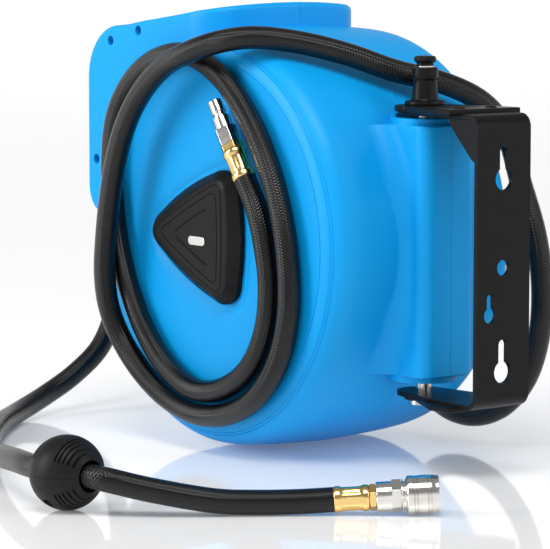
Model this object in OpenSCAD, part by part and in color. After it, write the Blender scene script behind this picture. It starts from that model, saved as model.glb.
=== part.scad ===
// Spring-rewind air hose reel in a two-part moulded casing, on a swivel wall bracket.
// Millimetres, +Z up. X runs along the drum axis and +Y points at the wall.
// The origin is on the bracket's wall face, midway between its two keyhole screws.

/* [Casing] */
// Radius of the round casing at its parting plane
casing_r = 140; // [125:1:170]
// Half of the casing's width over its flat side faces
casing_half_w = 76; // [72:1:95]
// Wall thickness of the casing
casing_wall = 3; // [2.5:0.1:4]
// Half of the width of the square outlet box
box_half_w = 66; // [56:1:70]
// How far the outlet box's front stands past the casing
box_reach = 13; // [10:1:20]
// Height of the outlet box's top over the casing
box_rise = 15; // [10:1:22]

/* [Bracket] */
// From the swivel pin's axis to the wall
pin_to_wall = 75; // [70:1:90]
// How far the swivel pin's axis lies inside the casing's radius
pin_inset = 9; // [6:1:12]
// Half width of the bracket's back plate
bracket_half_w = 22; // [19:1:26]
// Thickness of the bracket's steel
bracket_t = 3; // [2.5:0.5:4]
// Half of the gap between the bracket's two arms
arm_half_gap = 84.5; // [82:0.5:92]
// Extra drop of the lower arm under the casing
low_drop = 5; // [0:0.5:6]
// Distance between the seats of the two keyholes
keyhole_pitch = 120; // [100:1:130]
// Radius of a keyhole's entry
keyhole_r = 7; // [6:0.5:8]

/* [Drum] */
// Radius of the drum's flanges
flange_r = 128; // [112:1:130]
// Half of the width between the drum's flanges
drum_half_gap = 52; // [46:1:54]
// Radius of the drum's core
core_r = 54; // [50:1:58]
// Radius of the fixed axle
axle_r = 9; // [8:0.5:10]
// Outer radius of the hose wound on the drum
wound_r = 116; // [90:1:120]

/* [Hose and fittings] */
// Radius of the hose
hose_r = 7.5; // [7:0.25:8]
// Radius of the stop ball
ball_r = 22.5; // [20:0.5:24]
// Radius of the coupler's sleeve
sleeve_r = 11.6; // [11.5:0.1:13]
// Radius of the coupler's socket
socket_r = 6.1; // [5.5:0.1:6.5]
// Radius of the lead plug's nose
plug_r = 5.9; // [5.3:0.1:6.2]

/* [Hidden] */
$fn = 64;

// Clearances
run_gap = 0.05;  // radial, on what turns or slides on a shaft
fit_gap = 0.1;   // radial, on what is fixed in a hole
part_gap = 0.5;  // between pieces that pass each other
eps = 0.01;

// Places, from the drum's centre
axis_drop = 6;
pin_y = casing_r - pin_inset;
wall_y = pin_y + pin_to_wall;
pin_r = 5;
face_edge_r = casing_r - 12.4;
rim_r = casing_r - 4;
rim_x = casing_half_w - 11;

// Spine that carries the swivel bosses
spine_half_w = 22;
spine_reach = 26;
spine_top = arm_half_gap - 4.5;
spine_round = 9;
boss_r = 23;
boss_end = arm_half_gap - part_gap;

// Bracket's plates
plate_t = 4.5;
plate_nose_r = 19.4;
low_nose_r = 12.5;
plate_half_w = 29.4;
plate_reach = 57;
arm_nose_r = 16;
arm_top = arm_half_gap + bracket_t;
plate_top = arm_top + plate_t;
gusset_h = 24;

// Outlet
outlet_z = 45;
outlet_half_w = 29;
outlet_low = 22;
outlet_high = 80;
outlet_depth = 38;
outlet_wall = 3;
front_y = -casing_r - box_reach;
box_top = casing_r + box_rise;
hose_slope = atan2(52, 108);
roller_r = 6;
roller_pin_r = 2;
roller_len = 2 * (outlet_half_w - outlet_wall) - 2;
roller_offset = hose_r + roller_r + part_gap;
hose_from = [0, front_y - 3, outlet_z - 0.5];

// Drum
flange_t = 3;
flange_outer = drum_half_gap + flange_t;
core_wall = 4;
bush_r = axle_r + 9;
spring_case_r = core_r - core_wall - part_gap;
spring_case_len = 59;
spring_turns = 9;
spring_strip = 0.9;
tooth_count = 12;
ratchet_r = 72;
tooth_h = 9;
ratchet_t = 6;
pawl_y = -64;
pawl_z = -68.5;
axle_end = casing_half_w + 3;
inlet_x = -casing_half_w - 21;

// Fittings
ferrule_r = hose_r - 0.4;
ferrule_len = 21;
hex_af = 14;
adapter_len = 4;
body_len = 18;
sleeve_len = 19;
sleeve_travel = 3;

// The lead hose's route from the drum's centre: down from the inlet elbow, round behind the
// bracket, over the casing and twice round the side face
lead_points = [
    [-97, 0, -38], [-97, 1, -58], [-95.5, 8, -82], [-92, 24, -104], [-88, 50, -119],
    [-86, 82, -122], [-86, 112, -112], [-86, 135, -90], [-86, 147, -60], [-86, 149, -27],
    [-86, 142, 6], [-84, 130, 38], [-76, 125, 70], [-58, 121, 91], [-31, 114, 104],
    [0, 101, 112.5], [28, 86, 123.5], [54, 69, 131], [77, 53, 134], [92, 35, 131],
    [99.5, 11, 123.5], [100, -15, 113.5], [99.5, -39, 97], [99.5, -57, 76], [99.5, -69, 52],
    [99.5, -77, 25], [99.5, -82, -2], [99.5, -84, -28], [97, -82, -52], [91, -74, -75],
    [86, -57, -95], [84, -31, -109], [84, 2, -115], [84, 36, -110], [84, 66, -95],
    [84, 88, -69], [84, 98, -37], [84, 97, -4], [84, 89, 28], [84, 75, 58], [84, 54, 86],
    [84, 26, 109], [84, -7, 121.5], [84, -40, 119], [84, -69, 105], [84, -90, 81],
    [84, -97, 52], [84, -96, 22], [84, -90, -8], [84, -78, -37], [84, -60, -64],
    [84, -35, -86], [84, -3, -98.5], [84, 30, -94], [84, 58, -77], [84, 74, -51],
    [84, 78, -22], [85.5, 75, 4], [86.5, 68, 26], [86.5, 56, 44]];
// The delivery hose's route: out of the rollers, down, and along the ground to the coupler
delivery_points = [
    [0, -156, 44.5], [0, -180, 33], [0, -200, 10], [0, -208, -16], [3, -207, -43],
    [10, -202, -70], [26, -197, -95], [50, -195, -113], [80, -190, -126],
    [114, -172, -132.4], [150, -138, -132.4], [184, -96, -132.4], [214, -50, -130],
    [240, 2, -125], [260, 54, -119.5], [269, 93, -117.5], [261, 141, -117.5],
    [239, 163, -124], [208, 184, -131], [187, 198, -132.4], [166, 212.5, -132.2], [150, 225, -131]];
ball_at = [265, 117, -117.5];
coupler_pitch = 3.4;
coupler_heading = 142;
plug_lean = atan2(12, 18);

// Draws its children from the drum's centre, in the part's frame
module reel() {
    translate([0, -wall_y, -axis_drop]) children();
}

// Turns the Z axis onto the drum's axis, +Z onto +X
module along_x() {
    rotate([0, 90, 0]) children();
}

// Puts the Z axis at a point, along a heading in plan and a rise over the level
module aim(at, heading, rise) {
    translate(at) rotate([0, 90 - rise, heading]) children();
}

module tube(outer, inner, len) {
    difference() {
        cylinder(r = outer, h = len);
        translate([0, 0, -1]) cylinder(r = inner, h = len + 2);
    }
}

module hexagon(af, len) {
    cylinder(r = af / 2 / cos(30), h = len, $fn = 6);
}

function unit(v) = v / norm(v);

// Directions along a route, and a frame that turns with it without twisting
function headings(p) = [for (i = [0:len(p) - 1]) unit(p[min(i + 1, len(p) - 1)] - p[max(i - 1, 0)])];
function square_to(v, t) = unit(v - (v * t) * t);
function side_vectors(t, i = 0, last = [1, 0.2, 0.1]) =
    i == len(t) ? [] :
    let (n = square_to(last, t[i])) concat([n], side_vectors(t, i + 1, n));

// A closed tube swept along a route as one polyhedron
module swept_tube(route, radius, sides = 10) {
    t = headings(route);
    n = side_vectors(t);
    rings = len(route);
    points = [for (i = [0:rings - 1]) for (k = [0:sides - 1])
        let (b = cross(t[i], n[i]), a = 360 * k / sides)
        route[i] + radius * (cos(a) * n[i] + sin(a) * b)];
    walls = [for (i = [0:rings - 2]) for (k = [0:sides - 1])
        let (k2 = (k + 1) % sides)
        [i * sides + k, (i + 1) * sides + k, (i + 1) * sides + k2, i * sides + k2]];
    first_cap = [for (k = [0:sides - 1]) k];
    last_cap = [for (k = [sides - 1:-1:0]) (rings - 1) * sides + k];
    polyhedron(points, concat(walls, [first_cap, last_cap]), convexity = 10);
}

// ---- Casing outlines ----

function arc(cx, cy, r, a0, a1, steps) =
    [for (i = [0:steps]) let (a = a0 + (a1 - a0) * i / steps) [cx + r * cos(a), cy + r * sin(a)]];

// Half outline of the round casing, radius against height along the axis, inset by a wall
module round_outline(inset) {
    rim_round = rim_x + 11 - 2.3;
    polygon(concat(
        [[0, 0], [casing_r - inset, 0], [casing_r - 1 - inset, rim_x - 30]],
        arc(rim_r - 8.6 - inset, rim_x + inset * 0 - inset, 8.6, 8, 76, 6),
        [[face_edge_r - 8, casing_half_w - inset], [0, casing_half_w - inset]]));
}

module round_body(inset) {
    along_x() rotate_extrude($fn = 128) round_outline(inset);
    rotate([0, -90, 0]) rotate_extrude($fn = 128) round_outline(inset);
}

// Outlet box in three views: its side, its plan and its front
module box_side(inset) {
    nose_r = 35 - inset;
    foot_r = 20 - inset;
    front = front_y + inset;
    top_front = box_top - 13.5 - inset;
    polygon(concat(
        [[4 - inset, 60], [4 - inset, box_top - inset], [-20, box_top - 2.5 - inset], [-70, box_top - 7.5 - inset]],
        arc(front + nose_r, top_front - nose_r, nose_r, 84, 180, 8),
        arc(front + foot_r, 27 + inset, foot_r, 180, 232, 5),
        [[front + 30, 0], [-80, 0], [-60, 60]]));
}

module box_plan(inset) {
    half = box_half_w - inset;
    corner = 14;
    polygon(concat(
        [[-half, -casing_r - 40], [half, -casing_r - 40]],
        arc(half - corner, -22 - corner - inset, corner, 0, 62, 5),
        [[30, -9 - inset], [10, -1 - inset], [-10, -1 - inset], [-30, -9 - inset]],
        arc(-half + corner, -22 - corner - inset, corner, 118, 180, 5)));
}

module box_front(inset) {
    half = box_half_w - inset;
    corner = 9;
    top = box_top - inset;
    polygon(concat(
        [[-half, -20], [half, -20]],
        arc(half - corner, top - 5 - corner, corner, 0, 80, 5),
        [[30, top - 1.2], [10, top], [-10, top], [-30, top - 1.2]],
        arc(-half + corner, top - 5 - corner, corner, 100, 180, 5)));
}

module outlet_box(inset) {
    intersection() {
        rotate([90, 0, 90]) translate([0, 0, -90]) linear_extrude(180) box_side(inset);
        translate([0, 0, -40]) linear_extrude(260) box_plan(inset);
        rotate([90, 0, 0]) translate([0, 0, -20]) linear_extrude(220) box_front(inset);
    }
}

module spine_plan(inset) {
    half = spine_half_w - inset;
    back = pin_y + spine_reach - inset;
    round_r = spine_round - inset;
    translate([-half, pin_y - 60]) square([2 * half, back - round_r - pin_y + 60]);
    translate([-half + round_r, pin_y - 60]) square([2 * (half - round_r), back - pin_y + 60]);
    for (side = [-1, 1]) translate([side * (half - round_r), back - round_r]) circle(r = round_r);
}

module spine(inset, end_wall) {
    translate([0, 0, -spine_top + end_wall]) linear_extrude(2 * (spine_top - end_wall)) spine_plan(inset);
}

// Places of the screws in the outlet box's side, as [y, z]
box_screws = [[-91, box_top - 19.5], [front_y + 29, box_top - 27], [front_y + 11, 45.5]];
screw_boss_r = 6;
screw_recess_r = 3.4;
screw_from = [0, 0, outlet_half_w + 1];

module casing_solid() {
    difference() {
        union() {
            round_body(0);
            outlet_box(0);
            spine(0, 0);
            translate([0, pin_y, -boss_end]) cylinder(r = boss_r, h = 2 * boss_end);
            along_x() translate([0, 0, -casing_half_w - 6]) cylinder(r = 31, h = 8);
            swivel_lug();
        }
        difference() {
            union() {
                round_body(casing_wall);
                outlet_box(casing_wall);
                spine(casing_wall, 14);
            }
            casing_hubs();
            screw_bosses();
            pawl_post();
        }
        // Swivel bores, axle bore, outlet mouth and screw holes
        translate([0, pin_y, -boss_end - 1]) cylinder(r = pin_r + run_gap, h = 2 * boss_end + 2);
        along_x() translate([0, 0, -120]) cylinder(r = axle_r + fit_gap, h = 240);
        outlet_mouth(0.2);
        ring_grooves();
        screw_holes();
        cap_recess();
        pawl_pin_hole();
    }
}

// Low stop on the top boss that the bracket's arm swings up to
module swivel_lug() {
    translate([0, pin_y, boss_end - 4]) rotate([0, 0, 230])
        rotate_extrude(angle = 80) translate([boss_r - 4.5, 0]) square([4, 6]);
}

module casing_hubs() {
    for (side = [-1, 1]) translate([side * (flange_outer + ratchet_t + 1.2), 0, 0])
        rotate([0, side * 90, 0]) cylinder(r = bush_r + 4, h = 30);
}

module screw_bosses() {
    for (i = [0:2])
        translate([screw_from[i], box_screws[i][0], box_screws[i][1]]) along_x() cylinder(r = screw_boss_r, h = 90);
    for (i = [0, 1])
        translate([-90, box_screws[i][0], box_screws[i][1]]) along_x() cylinder(r = screw_boss_r, h = 90);
}

module screw_holes() {
    for (i = [0:2]) translate([0, box_screws[i][0], box_screws[i][1]]) along_x() {
        translate([0, 0, box_half_w - 8]) cylinder(r = screw_recess_r, h = 20);
        translate([0, 0, i == 2 ? screw_from[i] - 1 : -26]) cylinder(r = 1.6 + fit_gap, h = i == 2 ? 40 : 92);
    }
}

module outlet_mouth(gap) {
    translate([-outlet_half_w - gap, front_y - 20, outlet_low - gap])
        cube([2 * (outlet_half_w + gap), 20 + outlet_depth + gap, outlet_high - outlet_low + 2 * gap]);
}

// Three fine grooves round each side face
module ring_grooves() {
    for (side = [-1, 1]) rotate([0, side * 90, 0]) {
        translate([0, 0, casing_half_w - 0.5]) tube(casing_r - 20.0, casing_r - 20.8, 3);
        translate([0, 0, casing_half_w - 1.9]) tube(casing_r - 12.0, casing_r - 12.8, 4);
    }
}

// Round-cornered triangle that points at -Y, from the drum's axis
module triangle(vertex_d, corner_r) {
    polygon([for (a = [60, 180, 300]) each arc(vertex_d * cos(a), vertex_d * sin(a), corner_r, a - 60, a + 60, 10)]);
}

// Stands a drawing in Y and Z on the +X side, at a place along the axis
module on_side(x) {
    translate([x, 0, 0]) rotate([90, 0, 90]) children();
}

cap_vertex = 38;
cap_corner = 15;
cap_h = 9.5;

module cap_recess() {
    on_side(casing_half_w - 1) linear_extrude(5) triangle(cap_vertex + 1, cap_corner + 4);
}

module casing_left() {
    color("dodgerblue") reel() intersection() {
        casing_solid();
        translate([0, -400, -400]) cube([200, 800, 800]);
    }
}

module casing_right() {
    color("dodgerblue") reel() intersection() {
        casing_solid();
        translate([-200, -400, -400]) cube([200, 800, 800]);
    }
}

// Hollow triangular cap over the axle's end
module triangle_cap() {
    color("black") reel() difference() {
        union() {
            on_side(casing_half_w - 1) linear_extrude(cap_h - 3) triangle(cap_vertex, cap_corner);
            on_side(casing_half_w - 1) linear_extrude(cap_h) triangle(cap_vertex - 2, cap_corner - 2);
        }
        on_side(casing_half_w - 2) linear_extrude(cap_h - 2) triangle(cap_vertex - 4, cap_corner - 3);
        on_side(casing_half_w + cap_h - 1.6) linear_extrude(1) difference() {
            triangle(cap_vertex - 14, 8);
            triangle(cap_vertex - 15, 7.6);
        }
    }
}

// Plain oval plate on the cap
module cap_plate() {
    color("silver") reel() on_side(casing_half_w + cap_h - 1) linear_extrude(0.8) {
        translate([-6, 0]) circle(r = 3);
        translate([6, 0]) circle(r = 3);
        translate([-6, -3]) square([12, 6]);
    }
}

module inlet_cover() {
    color("black") reel() translate([-casing_half_w - 6, 0, 0]) rotate([0, -90, 0]) difference() {
        union() {
            cylinder(r = 29, h = 2.5);
            cylinder(r = 26, h = 4.5);
        }
        translate([0, 0, -1]) cylinder(r = axle_r + fit_gap, h = 8);
    }
}

module casing_screws() {
    color("dimgray") reel() for (i = [0:2]) translate([0, box_screws[i][0], box_screws[i][1]]) along_x()
        difference() {
            union() {
                translate([0, 0, box_half_w - 8]) cylinder(r = screw_recess_r - 0.4, h = 2.4);
                translate([0, 0, i == 2 ? screw_from[i] : -22]) cylinder(r = 1.6, h = box_half_w - 8 - (i == 2 ? screw_from[i] : -22));
            }
            translate([-0.5, -2, box_half_w - 6.6]) cube([1, 4, 2]);
            translate([-2, -0.5, box_half_w - 6.6]) cube([4, 1, 2]);
        }
}

// ---- Bracket ----

module arm_outline(nose, front_half, back_half, reach) {
    circle(r = nose);
    polygon([[-front_half, 0], [front_half, 0], [back_half, reach * 0.7], [back_half, reach],
        [-back_half, reach], [-back_half, reach * 0.7]]);
}

// Entry circle low, seat half-round above it
module keyhole(entry_r, slot_r, drop) {
    rotate([90, 0, 0]) translate([0, 0, -10]) {
        translate([0, -drop, 0]) cylinder(r = entry_r, h = 20);
        cylinder(r = slot_r, h = 20);
        translate([-slot_r, -drop, 0]) cube([2 * slot_r, drop, 20]);
    }
}

seat_high = keyhole_pitch / 2 + axis_drop;
seat_low = axis_drop - keyhole_pitch / 2;
slot_r = 3.5;
slot_drop = 17;

module wall_bracket() {
    color("black") reel() difference() {
        union() {
            // Back plate and its two arms
            translate([-bracket_half_w, wall_y - bracket_t, -arm_top - low_drop])
                cube([2 * bracket_half_w, bracket_t, 2 * arm_top + low_drop]);
            for (level = [arm_half_gap, -arm_top - low_drop]) translate([0, pin_y, level])
                linear_extrude(bracket_t) arm_outline(arm_nose_r, arm_nose_r, bracket_half_w, pin_to_wall - 1);
            // Folded gussets under the top arm
            for (side = [-1, 1])
                translate([side * (bracket_half_w - bracket_t / 2) - bracket_t / 2, 0, 0]) rotate([90, 0, 90])
                    linear_extrude(bracket_t) polygon([
                        [wall_y - 1, arm_half_gap - gusset_h],
                        [wall_y - 1, arm_half_gap + 1],
                        [wall_y - 24, arm_half_gap + 1],
                        [wall_y - 24, arm_half_gap - 4]]);
        }
        // Pin holes through both arms
        translate([0, pin_y, arm_half_gap - 1]) cylinder(r = pin_r + run_gap, h = bracket_t + 2);
        translate([0, pin_y, -arm_top - low_drop - 1]) cylinder(r = pin_r + fit_gap, h = bracket_t + 2);
        rivet_holes();
        translate([0, wall_y, seat_high]) keyhole(keyhole_r, slot_r, slot_drop);
        translate([0, wall_y, seat_low]) keyhole(keyhole_r, slot_r, slot_drop);
        translate([10.7, wall_y, -24.5]) keyhole(5, 2.8, 10.5);
        translate([0, wall_y + 10, -axis_drop]) rotate([90, 0, 0]) cylinder(r = 5.1, h = 20);
    }
}

rivet_y = pin_to_wall - 27;
rivet_r = 2.2;

module rivet_holes() {
    for (side = [-1, 1]) translate([side * 13, pin_y + rivet_y, -120]) cylinder(r = rivet_r + fit_gap, h = 240);
}

module cover_plate(low, nose_r) {
    translate([0, pin_y, low]) linear_extrude(plate_t - part_gap)
        arm_outline(nose_r, nose_r, plate_half_w, plate_reach);
}

module top_plate() {
    color("black") reel() difference() {
        cover_plate(arm_top + part_gap / 2, plate_nose_r);
        translate([0, pin_y, arm_top - 1]) cylinder(r = pin_r + run_gap, h = plate_t + 2);
        rivet_holes();
    }
}

module bottom_plate() {
    color("black") reel() difference() {
        cover_plate(-plate_top - low_drop + part_gap / 2, low_nose_r);
        translate([0, pin_y, -plate_top - low_drop - 1]) cylinder(r = pin_r + fit_gap, h = plate_t + 2);
        rivet_holes();
    }
}

module plate_rivets() {
    color("black") reel() for (side = [-1, 1]) for (flip = [-1, 1]) translate([side * 13, pin_y + rivet_y, 0])
        mirror([0, 0, flip < 0 ? 1 : 0]) translate([0, 0, flip < 0 ? low_drop : 0]) {
            translate([0, 0, arm_half_gap - 1]) cylinder(r = rivet_r, h = plate_top - arm_half_gap + 1.6);
            translate([0, 0, plate_top - part_gap / 2]) cylinder(r = rivet_r + 1.8, h = 1.4);
            translate([0, 0, arm_half_gap - 1.4]) cylinder(r = rivet_r + 1.4, h = 1.4);
        }
}

// Fixed stud under the casing, with its head below the bottom plate
module pivot_stud() {
    color("dimgray") reel() translate([0, pin_y, -plate_top - low_drop - 2.5]) {
        cylinder(r = pin_r, h = 2.5 + plate_top + low_drop - spine_top + 12);
        cylinder(r = pin_r + 5, h = 2.5 + part_gap / 2);
    }
}

washer_r = 13;
spring_bore_r = 6.8;
plunger_top = plate_top + 24;

// Flanged body of the pull pin, turned: flange, cone, neck and collar
module plunger_body() {
    color("black") reel() translate([0, pin_y, plate_top - part_gap / 2]) rotate_extrude()
        polygon([[pin_r + run_gap, 0], [washer_r, 0], [washer_r, 1.8], [washer_r - 1, 3], [9, 3], [8.4, 4.5],
            [7.6, 15.5], [7.6, 16.5], [8.3, 17.5], [8.3, 23], [7.7, 24], [pin_r + run_gap, 24],
            [pin_r + run_gap, 22], [spring_bore_r, 22], [spring_bore_r, 6], [pin_r + run_gap, 6]]);
}

pin_low = boss_end - 11;
pin_high = plunger_top + 3;

module locking_pin() {
    color("silver") reel() translate([0, pin_y, 0]) {
        translate([0, 0, pin_low]) cylinder(r = pin_r, h = pin_high - pin_low);
        translate([0, 0, plate_top + 7]) cylinder(r = pin_r + 1.6, h = 2);
    }
}

module pull_knob() {
    color("black") reel() translate([0, pin_y, plunger_top]) difference() {
        rotate_extrude() polygon([[0, part_gap], [5.6, part_gap], [5.5, 2.6], [6.4, 3.2], [7, 4.2],
            [7, 6], [6.2, 7.2], [0, 7.2]]);
        translate([0, 0, -1]) cylinder(r = pin_r, h = 4);
    }
}

pin_spring_low = plate_top + 9;

module pin_spring() {
    color("silver") reel() translate([0, pin_y, 0]) for (i = [0:4])
        translate([0, 0, pin_spring_low + 0.8 + i * 2.7]) rotate_extrude($fn = 24) translate([5.95, 0]) circle(r = 0.6, $fn = 16);
}

// ---- Outlet ----

module outlet_frame() {
    depth = outlet_depth - 2;
    mid_z = (outlet_low + outlet_high) / 2;
    height = outlet_high - outlet_low;
    color("black") reel() difference() {
        union() {
            translate([-outlet_half_w, front_y - 1, outlet_low]) cube([2 * outlet_half_w, depth + 1, height]);
            translate([-outlet_half_w - 4, front_y - 3, outlet_low - 4]) cube([2 * outlet_half_w + 8, 3, height + 8]);
        }
        translate([-outlet_half_w + outlet_wall, front_y + 2, outlet_low + outlet_wall])
            cube([2 * (outlet_half_w - outlet_wall), depth + 5, height - 2 * outlet_wall]);
        // Bell-mouthed opening in the front
        translate([-15, front_y - 5, outlet_z - 15]) cube([30, 12, 34]);
        roller_pin_shapes(roller_pin_r + fit_gap, 3);
    }
}

// The rollers' places: across, above and below the hose, and upright beside it
cross_y = front_y + 12;
upright_y = front_y + 26;
hose_at_cross = hose_from[2] + (cross_y - hose_from[1]) * tan(hose_slope);
cross_high = hose_at_cross + roller_offset / cos(hose_slope);
cross_low = hose_at_cross - roller_offset / cos(hose_slope);

module roller_pin_shapes(r, extra) {
    for (z = [cross_high, cross_low]) translate([-outlet_half_w - extra, cross_y, z]) along_x()
        cylinder(r = r, h = 2 * (outlet_half_w + extra));
    for (side = [-1, 1]) translate([side * roller_offset, upright_y, outlet_low - extra])
        cylinder(r = r, h = outlet_high - outlet_low + 2 * extra);
}

module roller_pins() {
    color("silver") reel() roller_pin_shapes(roller_pin_r, -0.2);
}

module roller(len) {
    difference() {
        union() {
            cylinder(r = roller_r - 1, h = len);
            translate([0, 0, 1.5]) cylinder(r = roller_r, h = len - 3);
        }
        translate([0, 0, -1]) cylinder(r = roller_pin_r + run_gap, h = len + 2);
    }
}

module cross_roller(z) {
    color("silver") reel() translate([-roller_len / 2, cross_y, z]) along_x() roller(roller_len);
}

module upright_roller(side) {
    len = outlet_high - outlet_low - 2 * outlet_wall - 2;
    color("silver") reel() translate([side * roller_offset, upright_y, outlet_low + outlet_wall + 1]) roller(len);
}

module roller_top() {
    cross_roller(cross_high);
}

module roller_bottom() {
    cross_roller(cross_low);
}

module roller_left() {
    upright_roller(1);
}

module roller_right() {
    upright_roller(-1);
}

// ---- Axle and drum ----

// Hollow axle: air comes in at its inlet end and out through cross holes in the swivel
swivel_x = -drum_half_gap + 8;
swivel_len = 20;

module axle() {
    color("silver") reel() along_x() difference() {
        translate([0, 0, inlet_x + 4]) cylinder(r = axle_r, h = axle_end - inlet_x - 4);
        translate([0, 0, inlet_x]) cylinder(r = 4, h = swivel_x + swivel_len / 2 + 4 - inlet_x);
        translate([0, 0, swivel_x + swivel_len / 2]) rotate([90, 0, 0]) translate([0, 0, -20]) cylinder(r = 2.5, h = 40);
    }
}

module axle_nut() {
    color("silver") reel() translate([casing_half_w - 0.98, 0, 0]) along_x() difference() {
        hexagon(26, 4);
        translate([0, 0, -1]) cylinder(r = axle_r + fit_gap, h = 6);
    }
}

module spring_arbor() {
    color("dimgray") reel() translate([-12, 0, 0]) along_x() tube(axle_r + 4, axle_r + fit_gap, 46);
}

module drum_core() {
    color("gray") reel() along_x() difference() {
        translate([0, 0, -drum_half_gap]) tube(core_r, core_r - core_wall, 2 * drum_half_gap);
        tail_hole();
    }
}

tail_r = 4.5;

module tail_hole() {
    translate([0, 0, swivel_x + swivel_len / 2]) rotate([90, 0, 0]) cylinder(r = tail_r + 0.3, h = core_r + 5);
}

module flange(side) {
    color("gray") reel() translate([side * drum_half_gap, 0, 0]) rotate([0, side * 90, 0]) difference() {
        union() {
            tube(flange_r, bush_r + fit_gap, flange_t);
            translate([0, 0, 0]) tube(flange_r - 2, flange_r - 8, flange_t + 2);
        }
        for (a = [0:45:315]) rotate([0, 0, a]) translate([0.78 * flange_r, 0, -1]) cylinder(r = 9, h = flange_t + 4);
    }
}

module flange_left() {
    flange(1);
}

module flange_right() {
    flange(-1);
}

module bush(side) {
    color("white") reel() translate([side * (drum_half_gap - 4), 0, 0]) rotate([0, side * 90, 0])
        tube(bush_r, axle_r + run_gap, flange_t + 8);
}

module bush_left() {
    bush(1);
}

module bush_right() {
    bush(-1);
}

// Saw-toothed ring on the right flange
module ratchet_ring() {
    step = 360 / tooth_count;
    color("dimgray") reel() translate([-flange_outer, 0, 0]) rotate([0, -90, 0]) difference() {
        linear_extrude(ratchet_t) polygon([for (i = [0:tooth_count - 1]) each [
            ratchet_r * [cos(i * step), sin(i * step)],
            (ratchet_r - tooth_h) * [cos(i * step + 2), sin(i * step + 2)],
            (ratchet_r - tooth_h + 0.5) * [cos((i + 0.5) * step), sin((i + 0.5) * step)]]]);
        translate([0, 0, -1]) cylinder(r = ratchet_r - tooth_h - 10, h = ratchet_t + 2);
    }
}

// Pawl that drops into the ratchet, on a post inside the right casing
pawl_x = -flange_outer - ratchet_t;

module pawl_post() {
    translate([-100, pawl_y, pawl_z]) along_x() cylinder(r = 7, h = 100 + pawl_x - 1);
}

module pawl_pin_hole() {
    translate([pawl_x - 9, pawl_y, pawl_z]) along_x() cylinder(r = 2.5 + fit_gap, h = 12);
}

module pawl() {
    color("dimgray") reel() translate([pawl_x, pawl_y, pawl_z]) rotate([90, 0, 90]) difference() {
        union() {
            cylinder(r = 6, h = 5);
            linear_extrude(5) polygon([[-5.5, 2], [4.5, 4], [17, 19.5], [12.5, 21], [-4, 12]]);
        }
        translate([0, 0, -1]) cylinder(r = 2.5 + run_gap, h = 7);
    }
}

module pawl_pin() {
    color("silver") reel() translate([pawl_x - 8, pawl_y, pawl_z]) along_x() {
        cylinder(r = 2.5, h = 8 + 5.5);
        translate([0, 0, 13.2]) cylinder(r = 3.5, h = 0.8);
    }
}

module pawl_spring() {
    color("silver") reel() translate([pawl_x, pawl_y, pawl_z]) {
        for (i = [0:3]) translate([-9 + i * 1.6, 0, 0]) along_x()
            rotate_extrude($fn = 24) translate([8, 0]) circle(r = 0.5, $fn = 16);
        translate([-9, -8, 0]) along_x() cylinder(r = 0.5, h = 13);
    }
}

// Spring case in the core, open at its right end until its lid closes it
case_x = -12;

module spring_case() {
    color("gray") reel() translate([case_x, 0, 0]) along_x() difference() {
        cylinder(r = spring_case_r, h = spring_case_len);
        translate([0, 0, -1]) cylinder(r = spring_case_r - 2, h = spring_case_len - 1);
        cylinder(r = axle_r + 6, h = spring_case_len + 1);
    }
}

module spring_case_lid() {
    color("gray") reel() translate([case_x, 0, 0]) along_x() tube(spring_case_r - 2 - fit_gap, axle_r + 6, 2);
}

// Flat spiral strip, wound from the arbor to the case
module power_spring() {
    inner = axle_r + 4.6;
    outer = spring_case_r - 3.2;
    steps = spring_turns * 16;
    grow = (outer - inner) / steps;
    inside = [for (i = [0:steps]) let (a = i * 22.5, r = inner + i * grow) r * [cos(a), sin(a)]];
    outside = [for (i = [steps:-1:0]) let (a = i * 22.5, r = inner + spring_strip + i * grow) r * [cos(a), sin(a)]];
    color("dimgray") reel() translate([case_x + 3.5, 0, 0]) along_x()
        linear_extrude(spring_case_len - 8) polygon(concat(inside, outside));
}

module swivel_housing() {
    color("goldenrod") reel() translate([swivel_x, 0, 0]) along_x() difference() {
        union() {
            tube(axle_r + 6, axle_r + run_gap, swivel_len);
            translate([0, 0, swivel_len / 2]) rotate([90, 0, 0]) translate([0, 0, axle_r + 1]) cylinder(r = 7, h = 12);
        }
        translate([0, 0, 3]) cylinder(r = axle_r + 2.3, h = 2.6);
        translate([0, 0, swivel_len - 5.6]) cylinder(r = axle_r + 2.3, h = 2.6);
        translate([0, 0, swivel_len / 2]) rotate([90, 0, 0]) cylinder(r = 3, h = 40);
    }
}

module swivel_seals() {
    color("black") reel() for (x = [4.3, swivel_len - 4.3]) translate([swivel_x + x, 0, 0]) along_x()
        rotate_extrude() translate([axle_r + 1.2, 0]) circle(r = 1, $fn = 16);
}

// Stub that joins the swivel to the hose wound on the drum
module hose_tail() {
    start = axle_r + 13.1;
    color("goldenrod") reel() translate([swivel_x + swivel_len / 2, 0, 0]) rotate([90, 0, 0])
        translate([0, 0, start]) tube(tail_r, 2.5, core_r - 0.2 - start);
}

module wound_hose() {
    color("black") reel() along_x() translate([0, 0, -drum_half_gap + 0.3])
        tube(wound_r, core_r + fit_gap, 2 * drum_half_gap - 0.6);
}

// The hose from the winding's top to the rollers
module hose_run() {
    color("black") reel() translate(hose_from) rotate([-90 + hose_slope, 0, 0]) cylinder(r = hose_r, h = 58);
}

// ---- Lead hose ----

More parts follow.
